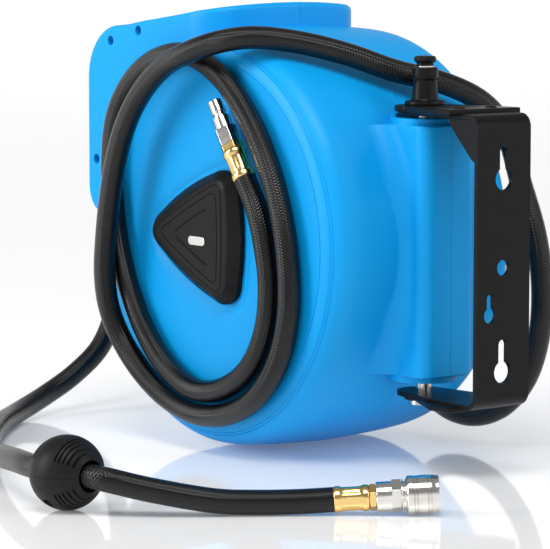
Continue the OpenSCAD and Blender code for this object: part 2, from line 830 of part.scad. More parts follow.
module inlet_elbow() {
    color("goldenrod") reel() translate([inlet_x, 0, 0]) difference() {
        union() {
            sphere(r = 10.2);
            translate([3, 0, 0]) along_x() cylinder(r = 12, h = 7.4);
            translate([0, 0, -20]) cylinder(r = 8.5, h = 20);
            translate([0, 0, -19]) rotate(30) hexagon(19, 6);
        }
        translate([3.9, 0, 0]) along_x() cylinder(r = axle_r + fit_gap, h = 20);
        along_x() cylinder(r = 4, h = 20);
        translate([0, 0, -40]) cylinder(r = 4, h = 40);
    }
}

module inlet_ferrule() {
    color("goldenrod") reel() translate([inlet_x, 0, -20 - ferrule_len]) difference() {
        cylinder(r = hose_r + 0.9, h = ferrule_len - 0.02);
        translate([0, 0, -1]) cylinder(r = hose_r + fit_gap, h = ferrule_len - 5);
        cylinder(r = 3.5, h = ferrule_len);
    }
}

module lead_hose() {
    color("black") reel() swept_tube(lead_points, hose_r);
}

lead_end = lead_points[len(lead_points) - 1];

// Draws along the lead's last stretch, which leans towards -Y
module lead_tip() {
    translate(lead_end) rotate([plug_lean, 0, 0]) children();
}

module crimp(len) {
    difference() {
        union() {
            cylinder(r = ferrule_r, h = len);
            translate([0, 0, 1]) cylinder(r = ferrule_r + 0.7, h = 3);
            translate([0, 0, len - 4]) cylinder(r = ferrule_r + 0.7, h = 3);
        }
        translate([0, 0, -1]) cylinder(r = 3.5, h = len + 2);
    }
}

module lead_ferrule() {
    color("goldenrod") reel() lead_tip() translate([0, 0, 0.02]) crimp(ferrule_len - 0.02);
}

module adapter(len) {
    difference() {
        hexagon(hex_af, len);
        translate([0, 0, -1]) cylinder(r = 3.5, h = len + 2);
    }
}

module lead_adapter() {
    color("goldenrod") reel() lead_tip() translate([0, 0, ferrule_len + 0.02]) adapter(adapter_len);
}

// Quick plug: hexagon, stem, locking groove and nose
module lead_plug() {
    color("silver") reel() lead_tip() translate([0, 0, ferrule_len + adapter_len + 0.04]) difference() {
        union() {
            hexagon(hex_af, 12);
            cylinder(r = plug_r, h = 21);
            cylinder(r = 4.1, h = 25);
            translate([0, 0, 24]) cylinder(r = 4.9, h = 9);
        }
        translate([0, 0, -1]) cylinder(r = 2.5, h = 40);
    }
}

// ---- Delivery hose ----

module delivery_hose() {
    color("black") reel() swept_tube(delivery_points, hose_r);
}

ball_heading = atan2(delivery_points[16][1] - delivery_points[15][1], delivery_points[16][0] - delivery_points[15][0]);

module ball_shape() {
    difference() {
        sphere(r = ball_r);
        translate([0, 0, -40]) cylinder(r = hose_r + 0.2, h = 80);
        for (k = [0:3]) for (flip = [-1, 1]) mirror([0, 0, flip < 0 ? 1 : 0])
            translate([0, 0, 18.2 - k * 2.7]) tube(40, sqrt(ball_r * ball_r - pow(18.2 - k * 2.7, 2)) - 1.1, 1.1);
        ball_screw_shapes(fit_gap, 40);
    }
}

module ball_screw_shapes(gap, reach) {
    for (side = [-1, 1]) translate([0, side * 14.5, 0]) along_x() {
        translate([0, 0, -11]) cylinder(r = 1.5 + gap, h = 22);
        translate([0, 0, 9]) cylinder(r = 3 + gap, h = reach);
    }
}

module ball_half(side) {
    color("black") reel() aim(ball_at, ball_heading, 0) intersection() {
        ball_shape();
        translate([side > 0 ? 0.1 : -40.1, -40, -40]) cube([40, 80, 80]);
    }
}

module ball_half_a() {
    ball_half(1);
}

module ball_half_b() {
    ball_half(-1);
}

module ball_screws() {
    color("dimgray") reel() aim(ball_at, ball_heading, 0) ball_screw_shapes(0, 3);
}

delivery_end = delivery_points[len(delivery_points) - 1];

module delivery_tip(along) {
    aim(delivery_end, coupler_heading, coupler_pitch) translate([0, 0, along]) children();
}

module delivery_ferrule() {
    color("goldenrod") reel() delivery_tip(0.02) crimp(ferrule_len - 0.02);
}

module coupler_adapter() {
    color("goldenrod") reel() delivery_tip(ferrule_len + 0.02) adapter(adapter_len);
}

coupler_at = ferrule_len + adapter_len + 0.04;
socket_from = 8;
body_r = 8.4;
body_end = body_len + sleeve_len - 2;
ball_lock_at = 27.5;
lock_ball_r = 1.35;
lock_ball_out = socket_r + lock_ball_r + 0.05;

module coupler_body() {
    color("silver") reel() delivery_tip(coupler_at) difference() {
        union() {
            cylinder(r = 8.9, h = 9.5);
            translate([0, 0, 9]) hexagon(17.5, 5.8);
            cylinder(r = body_r, h = body_end);
        }
        translate([0, 0, -1]) cylinder(r = 3.5, h = 60);
        translate([0, 0, socket_from]) cylinder(r = socket_r, h = 60);
        for (a = [0:90:270]) rotate([0, 0, a]) translate([socket_r - 1, 0, ball_lock_at]) rotate([0, 90, 0])
            cylinder(r = lock_ball_r + fit_gap, h = 6);
    }
}

module coupler_sleeve() {
    color("silver") reel() delivery_tip(coupler_at + body_len) difference() {
        union() {
            cylinder(r = sleeve_r - 0.5, h = sleeve_len);
            cylinder(r = sleeve_r, h = 4);
            translate([0, 0, 5]) cylinder(r = sleeve_r, h = 7);
            translate([0, 0, 13]) cylinder(r = sleeve_r, h = 1.5);
        }
        translate([0, 0, -1]) cylinder(r = body_r + run_gap, h = sleeve_len + 2);
        translate([0, 0, -1]) cylinder(r = body_r + 1.6, h = 7);
        translate([0, 0, ball_lock_at - body_len - 1.6]) cylinder(r = body_r + 1.2, h = 20);
    }
}

module coupler_spring() {
    color("silver") reel() delivery_tip(coupler_at + body_len - sleeve_travel) for (i = [0:2])
        translate([0, 0, 0.4 + i * 2.2]) rotate_extrude($fn = 24) translate([body_r + 0.9, 0]) circle(r = 0.5, $fn = 16);
}

module coupler_balls() {
    color("silver") reel() delivery_tip(coupler_at + ball_lock_at) for (a = [0:90:270]) rotate([0, 0, a])
        translate([lock_ball_out, 0, 0]) sphere(r = lock_ball_r, $fn = 32);
}

wall_bracket();
top_plate();
bottom_plate();
plate_rivets();
pivot_stud();
plunger_body();
locking_pin();
pull_knob();
pin_spring();
casing_left();
casing_right();
triangle_cap();
cap_plate();
inlet_cover();
casing_screws();
outlet_frame();
roller_top();
roller_bottom();
roller_left();
roller_right();
roller_pins();
axle();
axle_nut();
spring_arbor();
pawl();
pawl_pin();
pawl_spring();
drum_core();
flange_left();
flange_right();
bush_left();
bush_right();
ratchet_ring();
spring_case();
spring_case_lid();
power_spring();
swivel_housing();
swivel_seals();
hose_tail();
wound_hose();
hose_run();
inlet_elbow();
inlet_ferrule();
lead_hose();
lead_ferrule();
lead_adapter();
lead_plug();
delivery_hose();
ball_half_a();
ball_half_b();
ball_screws();
delivery_ferrule();
coupler_adapter();
coupler_body();
coupler_sleeve();
coupler_spring();
coupler_balls();
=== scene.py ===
"""Finished looks for a wall-mounted, spring-rewind air hose reel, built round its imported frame."""

import math

import bmesh
import bpy
from bpy.props import FloatProperty, FloatVectorProperty, IntProperty, PointerProperty
from mathutils import Matrix, Vector


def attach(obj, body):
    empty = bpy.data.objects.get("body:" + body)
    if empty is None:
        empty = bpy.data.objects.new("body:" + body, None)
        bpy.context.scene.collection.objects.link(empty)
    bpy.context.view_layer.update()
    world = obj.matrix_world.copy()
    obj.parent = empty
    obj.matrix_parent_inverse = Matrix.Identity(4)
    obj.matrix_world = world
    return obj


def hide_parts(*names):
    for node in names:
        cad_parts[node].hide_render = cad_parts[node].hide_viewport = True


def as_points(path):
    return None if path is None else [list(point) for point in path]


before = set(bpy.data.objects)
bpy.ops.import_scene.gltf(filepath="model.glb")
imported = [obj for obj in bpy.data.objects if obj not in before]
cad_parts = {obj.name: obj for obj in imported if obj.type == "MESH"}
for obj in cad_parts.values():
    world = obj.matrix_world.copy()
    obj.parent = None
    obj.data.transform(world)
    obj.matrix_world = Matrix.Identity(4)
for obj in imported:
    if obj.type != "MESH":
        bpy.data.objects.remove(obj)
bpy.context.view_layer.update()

bl_info = {
    "name": "Air hose reel",
    "version": (1, 0, 0),
    "blender": (4, 5, 0),
    "location": "View3D > Sidebar > Hose reel",
    "description": "Builds the casing, bracket, hoses and fittings of an air hose reel",
    "category": "Add Mesh",
}

# Everything is drawn in millimetres from the drum's centre, then set in the frame
DRUM_CENTRE = (0.0, -0.206, -0.006)
REEL = Matrix.Translation(DRUM_CENTRE) @ Matrix.Scale(0.001, 4)
PIN_Y = 131.0
WALL_Y = 206.0
OUTLET_TOP, OUTLET_LOW, OUTLET_HALF = 80.2, 21.8, 29.2

LEAD_ROUTE = (
    (-97, 0, -38), (-97, 1, -58), (-95.5, 8, -82), (-92, 24, -104), (-88, 50, -119),
    (-86, 82, -122), (-86, 112, -112), (-86, 135, -90), (-86, 147, -60), (-86, 149, -27),
    (-86, 142, 6), (-84, 130, 38), (-76, 125, 70), (-58, 121, 91), (-31, 114, 104),
    (0, 101, 112.5), (28, 86, 123.5), (54, 69, 131), (77, 53, 134), (92, 35, 131),
    (99.5, 11, 123.5), (100, -15, 113.5), (99.5, -39, 97), (99.5, -57, 76), (99.5, -69, 52),
    (99.5, -77, 25), (99.5, -82, -2), (99.5, -84, -28), (97, -82, -52), (91, -74, -75),
    (86, -57, -95), (84, -31, -109), (84, 2, -115), (84, 36, -110), (84, 66, -95),
    (84, 88, -69), (84, 98, -37), (84, 97, -4), (84, 89, 28), (84, 75, 58), (84, 54, 86),
    (84, 26, 109), (84, -7, 121.5), (84, -40, 119), (84, -69, 105), (84, -90, 81),
    (84, -97, 52), (84, -96, 22), (84, -90, -8), (84, -78, -37), (84, -60, -64), (84, -35, -86),
    (84, -3, -98.5), (84, 30, -94), (84, 58, -77), (84, 74, -51), (84, 78, -22), (85.5, 75, 4),
    (86.5, 68, 26), (86.5, 56, 44),
)
DELIVERY_ROUTE = (
    (0, -156, 44.5), (0, -180, 33), (0, -200, 10), (0, -208, -16), (3, -207, -43),
    (10, -202, -70), (26, -197, -95), (50, -195, -113), (80, -190, -126), (114, -172, -132.4),
    (150, -138, -132.4), (184, -96, -132.4), (214, -50, -130), (240, 2, -125),
    (260, 54, -119.5), (269, 93, -117.5), (261, 141, -117.5), (239, 163, -124),
    (208, 184, -131), (187, 198, -132.4), (166, 212.5, -132.2), (150, 225, -131),
)
BALL_AT = (265, 117, -117.5)
FLOOR_Z = -140.0
LOW_DROP = 5.0
ARM_TOP = 87.5
PIN_BORE = 5.05
AXLE_BORE = 9.1
ADAPTER_AT = 21.02
END_PIECE_AT = 25.04
SLEEVE_AT = 43.04
COUPLER_HEADING, COUPLER_RISE = math.radians(142), math.radians(3.4)
PLUG_LEAN = math.atan2(12, 18)


class ReelSizes(bpy.types.PropertyGroup):
    """Sizes that a maker would change, in millimetres"""

    hose_r: FloatProperty(name="Hose radius", description="Radius of both hoses", default=7.4, min=5, max=9)
    braid_threads: IntProperty(name="Braid threads", description="Threads each way round the hose",
        default=16, min=8, max=30)
    wall: FloatProperty(name="Casing wall", description="Thickness of the casing", default=3.0, min=2, max=5)
    casing_r: FloatProperty(name="Casing radius", description="Radius at the parting line", default=140.0,
        min=120, max=160)
    face_x: FloatProperty(name="Casing half width", description="From the parting line to a side face",
        default=76.0, min=60, max=90)
    box_half: FloatProperty(name="Outlet box half width", description="Half of the square box's width",
        default=66.0, min=50, max=70)
    steel_t: FloatProperty(name="Bracket steel", description="Thickness of the bracket's steel",
        default=3.0, min=2, max=5)
    bend_r: FloatProperty(name="Bracket bend", description="Outer radius of the bracket's bends",
        default=7.0, min=4, max=10)


def colour_property(name, words, value):
    """A colour that a maker would change."""
    return FloatVectorProperty(name=name, description=words, subtype="COLOR", size=3, default=value, min=0,
        max=1)


class ReelColours(bpy.types.PropertyGroup):
    """Base colours of the finishes"""

    casing: colour_property("Casing", "Moulded casing", (0.002, 0.35, 0.82))
    coat: colour_property("Bracket coat", "Powder coat on the bracket", (0.006, 0.006, 0.0065))
    plastic: colour_property("Black plastic", "Cap, knob and stop ball", (0.008, 0.008, 0.0085))
    hose: colour_property("Hose cover", "Cover of both hoses", (0.003, 0.003, 0.0035))
    brass: colour_property("Brass", "Ferrules and adapters", (0.86, 0.60, 0.24))
    nickel: colour_property("Plated steel", "Plug, coupler and pins", (0.72, 0.70, 0.67))


# ---- Shader groups and finishes ----


def group(name, inputs, outputs):
    """An empty shader node group with those sockets, and its inner ends."""
    tree = bpy.data.node_groups.new(name, "ShaderNodeTree")
    for label, kind, value in inputs:
        socket = tree.interface.new_socket(label, in_out="INPUT", socket_type=kind)
        if value is not None:
            socket.default_value = value
    for label, kind in outputs:
        tree.interface.new_socket(label, in_out="OUTPUT", socket_type=kind)
    return tree, tree.nodes.new("NodeGroupInput"), tree.nodes.new("NodeGroupOutput")


def node(tree, kind, links=(), **settings):
    """A node with its settings, and what feeds its inputs."""
    made = tree.nodes.new(kind)
    for key, value in settings.items():
        setattr(made, key, value)
    for key, source in dict(links).items():
        if isinstance(source, bpy.types.NodeSocket):
            tree.links.new(source, made.inputs[key])
        else:
            made.inputs[key].default_value = source
    return made


def maths(tree, operation, *values):
    """The output of a Math node on those values."""
    return node(tree, "ShaderNodeMath", dict(enumerate(values)), operation=operation).outputs[0]


def moulded_grain():
    """Fine spark-eroded grain with slow changes in gloss."""
    tree, start, end = group(
        "moulded_grain",
        [("Vector", "NodeSocketVector", None), ("Scale", "NodeSocketFloat", 900.0)],
        [("Height", "NodeSocketFloat"), ("Mask", "NodeSocketFloat")],
    )
    fine = node(tree, "ShaderNodeTexNoise",
        {"Vector": start.outputs[0], "Scale": start.outputs[1], "Detail": 3.0})
    cells = node(
        tree, "ShaderNodeTexVoronoi",
        {"Vector": start.outputs[0], "Scale": maths(tree, "MULTIPLY", start.outputs[1], 1.4)},
    )
    slow = node(tree, "ShaderNodeTexNoise", {"Vector": start.outputs[0], "Scale": 14.0, "Detail": 4.0})
    height = maths(tree, "ADD", fine.outputs[0], maths(tree, "MULTIPLY", cells.outputs["Distance"], 0.6))
    tree.links.new(height, end.inputs[0])
    tree.links.new(slow.outputs[0], end.inputs[1])
    return tree


def hose_braid():
    """Two crossing families of threads under a thin cover, on UV in turns and metres."""
    tree, start, end = group(
        "hose_braid",
        [("Vector", "NodeSocketVector", None), ("Threads", "NodeSocketFloat", 16.0),
         ("Pitch", "NodeSocketFloat", 0.0019)],
        [("Height", "NodeSocketFloat"), ("Mask", "NodeSocketFloat")],
    )
    parts = node(tree, "ShaderNodeSeparateXYZ", {0: start.outputs[0]})
    turns = maths(tree, "MULTIPLY", parts.outputs[0], start.outputs[1])
    along = maths(tree, "DIVIDE", parts.outputs[1], start.outputs[2])
    waves = []
    for operation in ("ADD", "SUBTRACT"):
        phase = maths(tree, "MULTIPLY", maths(tree, operation, turns, along), 2 * math.pi)
        waves.append(maths(tree, "SINE", phase))
    tree.links.new(maths(tree, "MAXIMUM", *waves), end.inputs[0])
    tree.links.new(maths(tree, "MULTIPLY", *waves), end.inputs[1])
    return tree


def handling_marks():
    """Fine scuffs and rubbed patches from use."""
    tree, start, end = group(
        "handling_marks",
        [("Vector", "NodeSocketVector", None), ("Scale", "NodeSocketFloat", 60.0),
         ("Amount", "NodeSocketFloat", 0.3)],
        [("Mask", "NodeSocketFloat")],
    )
    patches = node(tree, "ShaderNodeTexNoise",
        {"Vector": start.outputs[0], "Scale": start.outputs[1], "Detail": 8.0})
    lines = node(
        tree, "ShaderNodeTexNoise",
        {"Vector": start.outputs[0], "Scale": maths(tree, "MULTIPLY", start.outputs[1], 9.0), "Detail": 2.0,
         "Distortion": 2.5},
    )
    ramp = node(tree, "ShaderNodeMapRange",
        {0: maths(tree, "MULTIPLY", *[n.outputs[0] for n in (patches, lines)]),
                                             1: 0.22, 2: 0.42})
    tree.links.new(maths(tree, "MULTIPLY", ramp.outputs[0], start.outputs[2]), end.inputs[0])
    return tree


def place_group(tree, name, links):
    """A group node of that name, with its values."""
    return node(tree, "ShaderNodeGroup", links, node_tree=bpy.data.node_groups[name])


def finish(name, base, roughness, metallic=0.0, spread=0.08, wear=0.2, worn=None, coords="Object", **fixed):
    """A material with a moulded or turned surface: returns it, its tree and its shader."""
    made = bpy.data.materials.new(name)
    made.use_nodes = True
    tree = made.node_tree
    shader = tree.nodes["Principled BSDF"]
    shader.inputs["Metallic"].default_value = metallic
    for key, value in fixed.items():
        shader.inputs[key.replace("_", " ")].default_value = value
    spots = node(tree, "ShaderNodeTexCoord").outputs[coords]
    grain = place_group(tree, "moulded_grain", {"Vector": spots, "Scale": 900.0})
    marks = place_group(tree, "handling_marks", {"Vector": spots, "Scale": 55.0, "Amount": wear})
    shade = [min(1.0, c * 1.25 + 0.01) for c in base] if worn is None else worn
    mix = node(
        tree, "ShaderNodeMix", {0: marks.outputs[0], 6: (*base, 1.0), 7: (*shade, 1.0)}, data_type="RGBA",
    )
    tree.links.new(mix.outputs[2], shader.inputs["Base Color"])
    rough = maths(
        tree, "ADD", maths(tree, "MULTIPLY", grain.outputs[1], spread), roughness - spread / 2,
    )
    rough = maths(tree, "ADD", rough, maths(tree, "MULTIPLY", marks.outputs[0], 0.25))
    tree.links.new(rough, shader.inputs["Roughness"])
    return made, tree, shader, spots, grain


def bumped(tree, shader, height, strength, distance):
    """Feeds a height to the shader's normal."""
    bump = node(tree, "ShaderNodeBump", {"Height": height, "Strength": strength, "Distance": distance})
    tree.links.new(bump.outputs[0], shader.inputs["Normal"])


def grained(name, base, roughness, strength=0.25, distance=0.00012, **more):
    """A moulded or coated finish with a fine grain."""
    made, tree, shader, spots, grain = finish(name, base, roughness, **more)
    bumped(tree, shader, grain.outputs[0], strength, distance)
    return made


def turned(name, base, roughness, **more):
    """Bright metal with faint marks left by turning."""
    made, tree, shader, spots, grain = finish(name, base, roughness, metallic=1.0, spread=0.06, wear=0.35,
        **more)
    fine = node(tree, "ShaderNodeTexNoise", {"Vector": spots, "Scale": 420.0, "Detail": 6.0})
    bumped(tree, shader, fine.outputs[0], 0.12, 0.00006)
    return made


def hose_cover(name, base, threads):
    """Glossy cover with the braid showing through."""
    made, tree, shader, spots, grain = finish(
        name, base, 0.15, coords="UV", wear=0.05, spread=0.05, Specular_IOR_Level=0.35,
    )
    braid = place_group(tree, "hose_braid", {"Vector": spots, "Threads": float(threads)})
    bumped(tree, shader, braid.outputs[0], 0.4, 0.0003)
    return made


def use(piece, *names):
    """Gives a piece its materials, by name."""
    piece.data.materials.clear()
    for name in names:
        piece.data.materials.append(bpy.data.materials[name])


# ---- Making shapes ----


def smooth_line(points, per):
    """Points along one smooth curve through those given, per to each span."""
    spots = [Vector(p) for p in points]
    spots = [2 * spots[0] - spots[1], *spots, 2 * spots[-1] - spots[-2]]
    line = []
    for a, b, c, d in zip(spots, spots[1:], spots[2:], spots[3:]):
        for step in range(per):
            t = step / per
            line.append(0.5 * (2 * b + (c - a) * t + (2 * a - 5 * b + 4 * c - d) * t**2 + (3 * b - a - 3 * c + d) * t**3))
    return [*line, spots[-2]]


def arc(cx, cy, r, start, end, steps):
    """Points along an arc, angles in degrees."""
    angles = [math.radians(start + (end - start) * i / steps) for i in range(steps + 1)]
    return [(cx + r * math.cos(a), cy + r * math.sin(a)) for a in angles]


def along(path, at):
    """The point a share of the way along a path."""
    spot = at * (len(path) - 1)
    low = min(int(spot), len(path) - 2)
    return Vector(path[low]).lerp(Vector(path[low + 1]), spot - low)


def sheet(bm, across, rows, place):
    """A grid laid by place(u, v), with u and v from 0 to 1, kept as UV."""
    made = bmesh.ops.create_grid(bm, x_segments=across, y_segments=rows, size=0.5)["verts"]
    uv = bm.loops.layers.uv.verify()
    spots = {v: (v.co.x + 0.5, v.co.y + 0.5) for v in made}
    for face in {f for v in made for f in v.link_faces}:
        for loop in face.loops:
            loop[uv].uv = spots[loop.vert]
    for v, (a, b) in spots.items():
        v.co = place(a, b)
    return made


def close(bm, gap=0.001):
    """Merges seams, fills open ends and turns every face outwards."""
    bmesh.ops.remove_doubles(bm, verts=bm.verts, dist=gap)
    bmesh.ops.dissolve_degenerate(bm, edges=bm.edges, dist=gap)
    edges = [e for e in bm.edges if e.is_boundary]
    if edges:
        bmesh.ops.holes_fill(bm, edges=edges, sides=0)
    bmesh.ops.recalc_face_normals(bm, faces=bm.faces)


def lathe(bm, profile, steps=48, turn=None):
    """Spins a closed or pole-to-pole profile of (along, radius) about Z, then turns it into place."""
    made = [bm.verts.new((r, 0, z)) for z, r in profile]
    edges = [bm.edges.new(pair) for pair in zip(made, made[1:])]
    if profile[0][1] > 0:
        edges.append(bm.edges.new((made[-1], made[0])))
    spun = bmesh.ops.spin(
        bm, geom=made + edges, axis=(0, 0, 1), cent=(0, 0, 0), angle=2 * math.pi, steps=steps, use_merge=True,
    )
    bmesh.ops.remove_doubles(bm, verts=bm.verts, dist=0.0005)
    bmesh.ops.recalc_face_normals(bm, faces=bm.faces)
    if turn is not None:
        bmesh.ops.transform(bm, matrix=turn, verts=bm.verts)
    return spun


def prism(bm, outline, low, high, round_by=0.0, segments=3, turn=None):
    """A flat outline raised from low to high along Z, with its rims rounded."""
    floor = [bm.verts.new((x, y, low)) for x, y in outline]
    face = bm.faces.new(floor)
    raised = bmesh.ops.extrude_face_region(bm, geom=[face])["geom"]
    top = [g for g in raised if isinstance(g, bmesh.types.BMVert)]
    bmesh.ops.translate(bm, verts=top, vec=(0, 0, high - low))
    bmesh.ops.recalc_face_normals(bm, faces=bm.faces)
    if round_by:
        own = set(floor + top)
        rims = [e for e in bm.edges if e.verts[0] in own and e.verts[1] in own
                and abs(e.verts[0].co.z - e.verts[1].co.z) < 1e-6]
        bmesh.ops.bevel(
            bm, geom=rims, offset=round_by, offset_type="OFFSET", affect="EDGES", segments=segments,
            profile=0.5,
            material=-1, clamp_overlap=True,
        )
    if turn is not None:
        bmesh.ops.transform(bm, matrix=turn, verts=[v for v in bm.verts])
    return bm


def rough_piece(bm, name):
    """A plain object from a bmesh, to be cut or joined."""
    mesh = bpy.data.meshes.new(name)
    bm.to_mesh(mesh)
    bm.free()
    made = bpy.data.objects.new(name, mesh)
    bpy.context.scene.collection.objects.link(made)
    return made


def carve(target, tools, operation="DIFFERENCE"):
    """Joins or cuts a piece with others, which are used up."""
    for tool in tools:
        step = target.modifiers.new("carve", "BOOLEAN")
        step.operation, step.solver, step.object = operation, "EXACT", tool
        step.use_hole_tolerant = False
    bpy.context.view_layer.update()
    shaped = bpy.data.meshes.new_from_object(target.evaluated_get(bpy.context.evaluated_depsgraph_get()))
    target.modifiers.clear()
    old, target.data = target.data, shaped
    bpy.data.meshes.remove(old)
    for tool in tools:
        spare = tool.data
        bpy.data.objects.remove(tool)
        bpy.data.meshes.remove(spare)
    return target


def shade(bm, sharp=32.0):
    """Smooth shading that breaks at edges sharper than an angle in degrees."""
    limit = math.radians(sharp)
    for face in bm.faces:
        face.smooth = True
    for edge in bm.edges:
        edge.smooth = len(edge.link_faces) == 2 and edge.calc_face_angle(0.0) < limit


def settle(source, name, material, body, nodes=(), sharp=32.0, weighted=True):
    """Turns a bmesh or a plain object into a finished piece in the frame, riding on its body."""
    if isinstance(source, bmesh.types.BMesh):
        bm, old = source, None
    else:
        bm, old = bmesh.new(), source
        bm.from_mesh(source.data)
    bmesh.ops.transform(bm, matrix=REEL, verts=bm.verts)
    shade(bm, sharp)
    mesh = bpy.data.meshes.new(name)
    bm.to_mesh(mesh)
    bm.free()
    if old is not None:
        spare = old.data
        bpy.data.objects.remove(old)
        bpy.data.meshes.remove(spare)
    made = bpy.data.objects.new(name, mesh)
    bpy.context.scene.collection.objects.link(made)
    if weighted:
        normals = made.modifiers.new("normals", "WEIGHTED_NORMAL")
        normals.keep_sharp = True
    use(made, material)
    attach(made, body)
    if nodes:
        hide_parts(*nodes)
    return made


def aim(at, heading, rise):
    """Z axis turned to a heading in plan and a rise, at a point."""
    return Matrix.Translation(at) @ Matrix.Rotation(heading, 4, "Z") @ Matrix.Rotation(math.pi / 2 - rise,
        4, "Y")


def delivery_tip(ahead):
    """Place and direction of the outlet hose's end fittings."""
    return aim(DELIVERY_ROUTE[-1], COUPLER_HEADING, COUPLER_RISE) @ Matrix.Translation((0, 0, ahead))


def lead_tip(ahead):
    """Place and direction of the lead's end fittings."""
    return Matrix.Translation(LEAD_ROUTE[-1]) @ Matrix.Rotation(PLUG_LEAN, 4,
        "X") @ Matrix.Translation((0, 0, ahead))


def on_side(x):
    """Stands a drawing in Y and Z on the +X side."""
    return Matrix.Translation((x, 0, 0)) @ Matrix(((0, 0, 1, 0), (1, 0, 0, 0), (0, 1, 0, 0), (0, 0, 0, 1)))


# ---- Hoses ----


def hose(name, route, radius, per=6, sides=22):
    """A tube along a smooth route, with UV in turns and metres. Returns it and its path in metres."""
    line = smooth_line(route, per)
    headings = [(b - a).normalized() for a, b in zip([line[0], *line], [*line[1:], line[-1]])]
    headings[0] = (line[1] - line[0]).normalized()
    marks, side = [0.0], Vector((1, 0.2, 0.1))
    sides_at = []
    for i, heading in enumerate(headings):
        side = (side - side.dot(heading) * heading).normalized()
        sides_at.append(side.copy())
        if i:
            marks.append(marks[-1] + (line[i] - line[i - 1]).length)
    bm = bmesh.new()
    last = len(line) - 1

    def place(u, v):
        i = round(v * last)
        turn = 2 * math.pi * u
        return line[i] + radius * (math.cos(turn) * sides_at[i] + math.sin(turn) * headings[i].cross(sides_at[i]))

    sheet(bm, sides, last, place)
    uv = bm.loops.layers.uv.verify()
    for face in bm.faces:
        for loop in face.loops:
            u, v = loop[uv].uv
            loop[uv].uv = (u, marks[round(v * last)] * 0.001)
    close(bm)
    piece = settle(bm, name, "hose_cover", "casing", [name.replace("_tube", "_hose")],
        weighted=False)
    return piece, [REEL @ p for p in line], marks[-1] * 0.001


class REEL_OT_stage(bpy.types.Operator):
    """Sets the pale floor, the soft studio light and the camera"""

    bl_idname = "reel.stage"
    bl_label = "Stage and camera"

    def execute(self, context):
        scene = context.scene
        scene.view_settings.view_transform = "Standard"
        bm = bmesh.new()
        bmesh.ops.create_grid(bm, x_segments=1, y_segments=1, size=40.0)
        bmesh.ops.translate(bm, verts=bm.verts, vec=(0, 0, FLOOR_Z * 0.001 + DRUM_CENTRE[2]))
        mesh = bpy.data.meshes.new("floor")
        bm.to_mesh(mesh)
        bm.free()
        floor = bpy.data.objects.new("floor", mesh)
        scene.collection.objects.link(floor)
        pale = bpy.data.materials.new("pale_floor")
        pale.use_nodes = True
        shader = pale.node_tree.nodes["Principled BSDF"]
        shader.inputs["Base Color"].default_value = (1, 1, 1, 1)
        shader.inputs["Emission Color"].default_value = (1, 1, 1, 1)
        shader.inputs["Emission Strength"].default_value = 0.1
        shader.inputs["Roughness"].default_value = 0.06
        shader.inputs["IOR"].default_value = 1.6
        mesh.materials.append(pale)

        world = bpy.data.worlds.new("studio")
        scene.world = world
        world.use_nodes = True
        tree = world.node_tree
        tree.nodes["Background"].inputs["Color"].default_value = (1, 1, 1, 1)
        rays = node(tree, "ShaderNodeLightPath")
        heading = node(tree, "ShaderNodeSeparateXYZ",
            {0: node(tree, "ShaderNodeTexCoord").outputs["Generated"]})
        fall = node(tree, "ShaderNodeMapRange", {0: heading.outputs[2], 1: 0.10, 2: 0.38, 3: 1.05, 4: 0.3})
        glow = maths(tree, "MAXIMUM", rays.outputs["Is Camera Ray"], fall.outputs[0])
        tree.links.new(glow, tree.nodes["Background"].inputs["Strength"])
        for name, spot, target, size, power in (
            ("overhead_softbox", (0.75, 0.55, 1.7), (0, -0.2, 0), (1.1, 0.8), 22.0),
            ("side_softbox", (1.9, -1.1, 0.8), (0, -0.2, 0), (0.8, 1.4), 26.0),
            ("rear_softbox", (-0.9, 1.6, 1.0), (0, -0.1, 0), (0.6, 1.2), 9.0),
        ):
            data = bpy.data.lights.new(name, "AREA")
            data.shape, data.size, data.size_y, data.energy = "RECTANGLE", *size, power
            lamp = bpy.data.objects.new(name, data)
            lamp.location = spot
            lamp.rotation_euler = (Vector(target) - Vector(spot)).to_track_quat("-Z", "Y").to_euler()
            scene.collection.objects.link(lamp)

        data = bpy.data.cameras.new("camera")
        data.lens, data.sensor_width = 189.2, 36.0
        data.clip_start, data.clip_end = 0.05, 100.0
        camera = bpy.data.objects.new("camera", data)
        camera.location = (1.19996, 1.31669, 0.17781)
        camera.rotation_euler = (math.radians(90 - 6.23), 0, math.radians(142.2))
        scene.collection.objects.link(camera)
        scene.camera = camera
        return {"FINISHED"}


class REEL_OT_finishes(bpy.types.Operator):
    """Makes the shader groups and the finishes"""

    bl_idname = "reel.finishes"
    bl_label = "Finishes"

    def execute(self, context):
        colours, sizes = context.scene.reel_colours, context.scene.reel_sizes
        moulded_grain()
        hose_braid()
        handling_marks()
        dull = {"Specular_IOR_Level": 0.2}
        grained("blue_moulding", tuple(colours.casing), 0.4, strength=0.12, spread=0.06, wear=0.04, **dull)
        grained("powder_coat", tuple(colours.coat), 0.32, strength=0.3, distance=0.0002, wear=0.05,
            Specular_IOR_Level=0.14)
        grained("black_moulding", tuple(colours.plastic), 0.38, strength=0.3, wear=0.05,
            Specular_IOR_Level=0.14)
        grained("ball_rubber", tuple(colours.plastic), 0.45, strength=0.35, wear=0.2, **dull)
        grained("grey_moulding", (0.12, 0.125, 0.13), 0.5)
        grained("white_moulding", (0.75, 0.74, 0.7), 0.45)
        grained("dark_steel", (0.10, 0.10, 0.105), 0.38, metallic=0.9)
        turned("bright_plate", tuple(colours.nickel), 0.13)
        turned("bright_brass", tuple(colours.brass), 0.16)
        hose_cover("hose_cover", tuple(colours.hose), sizes.braid_threads)
        return {"FINISHED"}


